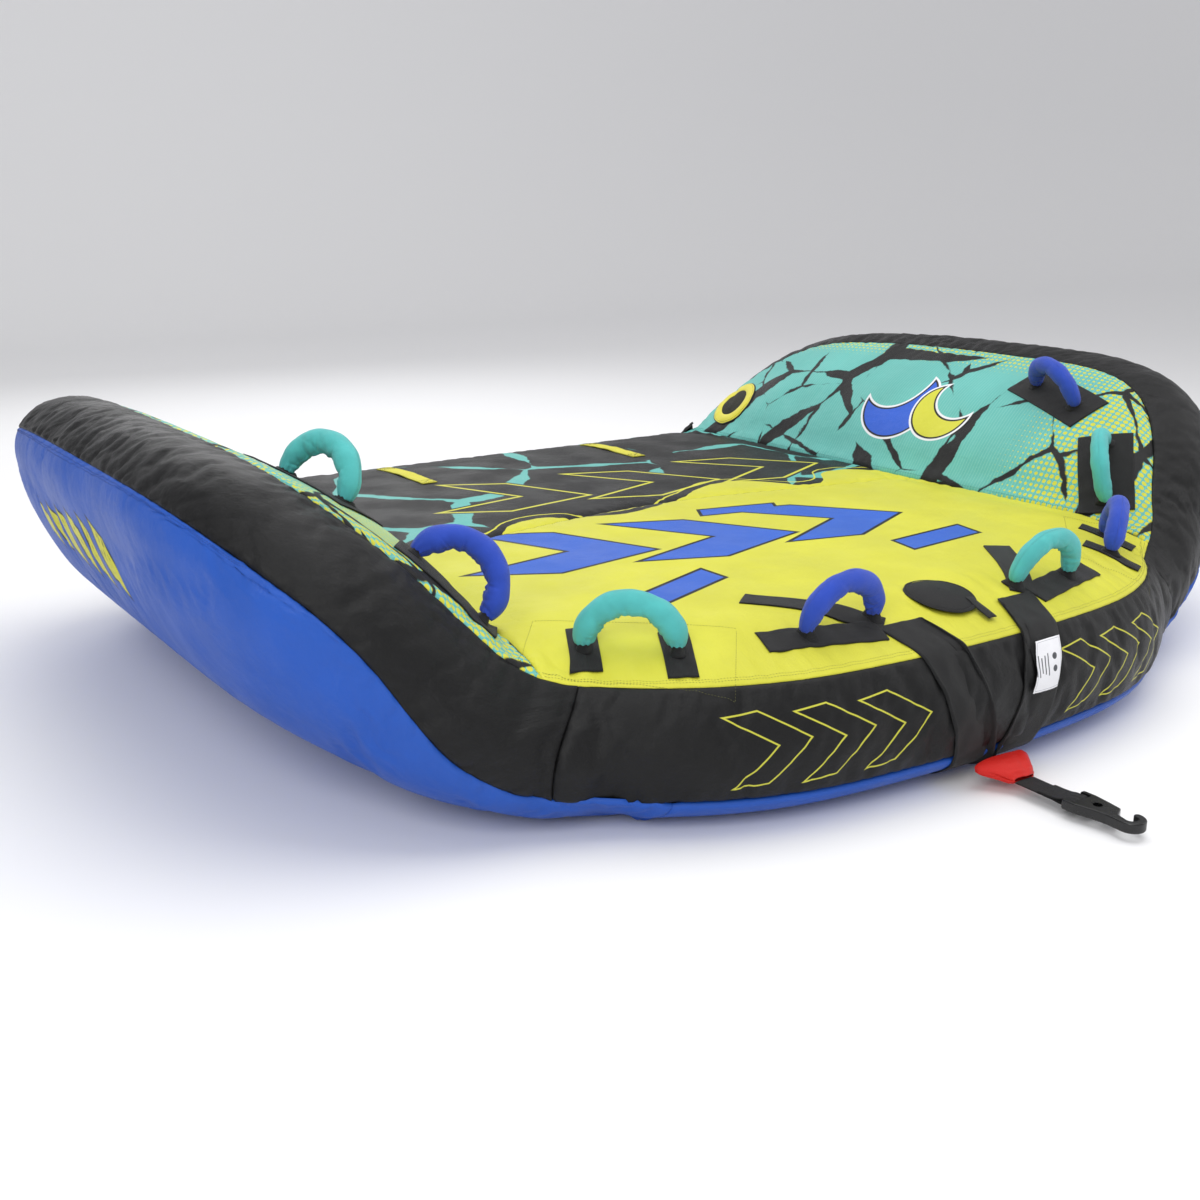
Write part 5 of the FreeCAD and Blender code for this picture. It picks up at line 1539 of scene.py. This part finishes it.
def finish_cad(look):
    """Materials for the CAD nodes that stay as they are."""
    kept = {"bladder": plastic("bladder_film", rgb(70, 72, 78), 0.35),
            "deck_beams": plastic("beam_film", rgb(80, 82, 88), 0.5),
            "valve": plastic("valve_moulded", rgb(30, 30, 33), 0.4),
            "zip_tapes": plain_nylon("zip_tape_weave", rgb(22, 22, 24)),
            "zip": metal("zip_alloy", rgb(150, 150, 152)),
            "tow_hook": plastic("hook_moulded", rgb(14, 14, 15), 0.3), "grip_core": look["web"]}
    for name, node in NODES.items():
        start = next((start for start in kept if name.startswith(start)), None)
        if start:
            for slot in node.material_slots:
                slot.material = kept[start]


def build():
    look = finishes()
    panels = cover_panels(look)
    seam_stitches(panels, look)
    sewn_on(Cover(panels.values()), look)
    for seed, body in enumerate(body for body in sorted(frame["bodies"]) if body.startswith("grip_")):
        slot = "grip_teal" if body[5:] in TEAL_GRIPS else "grip_blue"
        grip_sleeve(body[5:], look[slot], slot, seed)
    valve_flap(look)
    tow_sleeve(look["sleeve"])
    tow_lead(look["lead_web"], look["thread_dark"])
    zip_teeth(look["zip_coil"])
    finish_cad(look)


# ---------------------------------------------------------------- floor, light, camera
def stage_floor():
    """A pale floor that curves up into a wall behind the object."""
    shader = Shader("studio_floor")
    material = shader.surface(rgb(244, 244, 245), 0.9, 0.1)
    mesh = bpy.data.meshes.new("studio_floor")
    reach, back, high, bend = 22.0, 7.0, 9.0, 2.0
    cove = [(back + bend * sin(a), bend * (1 - cos(a))) for a in np.linspace(0, pi / 2, 11)]
    profile = [(-reach, 0.0)] + cove + [(back + bend, high)]
    points = [(x, y, z) for x in (-reach, reach) for y, z in profile]
    count = len(profile)
    mesh.from_pydata(points, [], [(k, k + count, k + count + 1, k + 1) for k in range(count - 1)])
    mesh.shade_smooth()
    mesh.materials.append(material)
    floor = bpy.data.objects.new("studio_floor", mesh)
    bpy.context.scene.collection.objects.link(floor)


# name, place, side and power in watts
LIGHTS = [("top_light", (0.3, -0.4, 4.0), 4.0, 95), ("key_light", (-3.6, -3.2, 3.0), 2.2, 90),
          ("fill_light", (3.8, -2.2, 2.2), 3.0, 30), ("back_light", (0.5, 3.8, 2.8), 3.0, 40)]
CAMERA_PLACE = (-1.8702, -2.3798, 1.0030)
CAMERA_DOWN, CAMERA_RIGHT = 16.4996, 34.018     # degrees below level, and to the right of +Y
CAMERA_LENS, CAMERA_SHIFT = 41.8, 0.014


def soft_light(name, place, target, size, power):
    light = bpy.data.lights.new(name, "AREA")
    light.shape, light.size, light.energy = "SQUARE", size, power
    lamp = bpy.data.objects.new(name, light)
    lamp.location = place
    lamp.rotation_euler = (Vector(target) - Vector(place)).to_track_quat("-Z", "Y").to_euler()
    bpy.context.scene.collection.objects.link(lamp)


def studio():
    stage_floor()
    low, high = cad_box
    middle = [(a + b) / 2 for a, b in zip(low, high)]
    for name, place, size, power in LIGHTS:
        soft_light(name, place, middle, size, power)
    world = bpy.data.worlds.new("studio")
    world.use_nodes = True
    world.node_tree.nodes["Background"].inputs[0].default_value = rgb(250, 250, 252)
    world.node_tree.nodes["Background"].inputs[1].default_value = 0.62
    bpy.context.scene.world = world
    bpy.context.scene.view_settings.view_transform = "Standard"


def camera():
    data = bpy.data.cameras.new("camera")
    data.sensor_width, data.lens, data.shift_x = 36.0, CAMERA_LENS, CAMERA_SHIFT
    eye = bpy.data.objects.new("camera", data)
    eye.location = CAMERA_PLACE
    eye.rotation_euler = (radians(90 - CAMERA_DOWN), 0.0, radians(-CAMERA_RIGHT))
    bpy.context.scene.collection.objects.link(eye)
    bpy.context.scene.camera = eye


build()
studio()
camera()
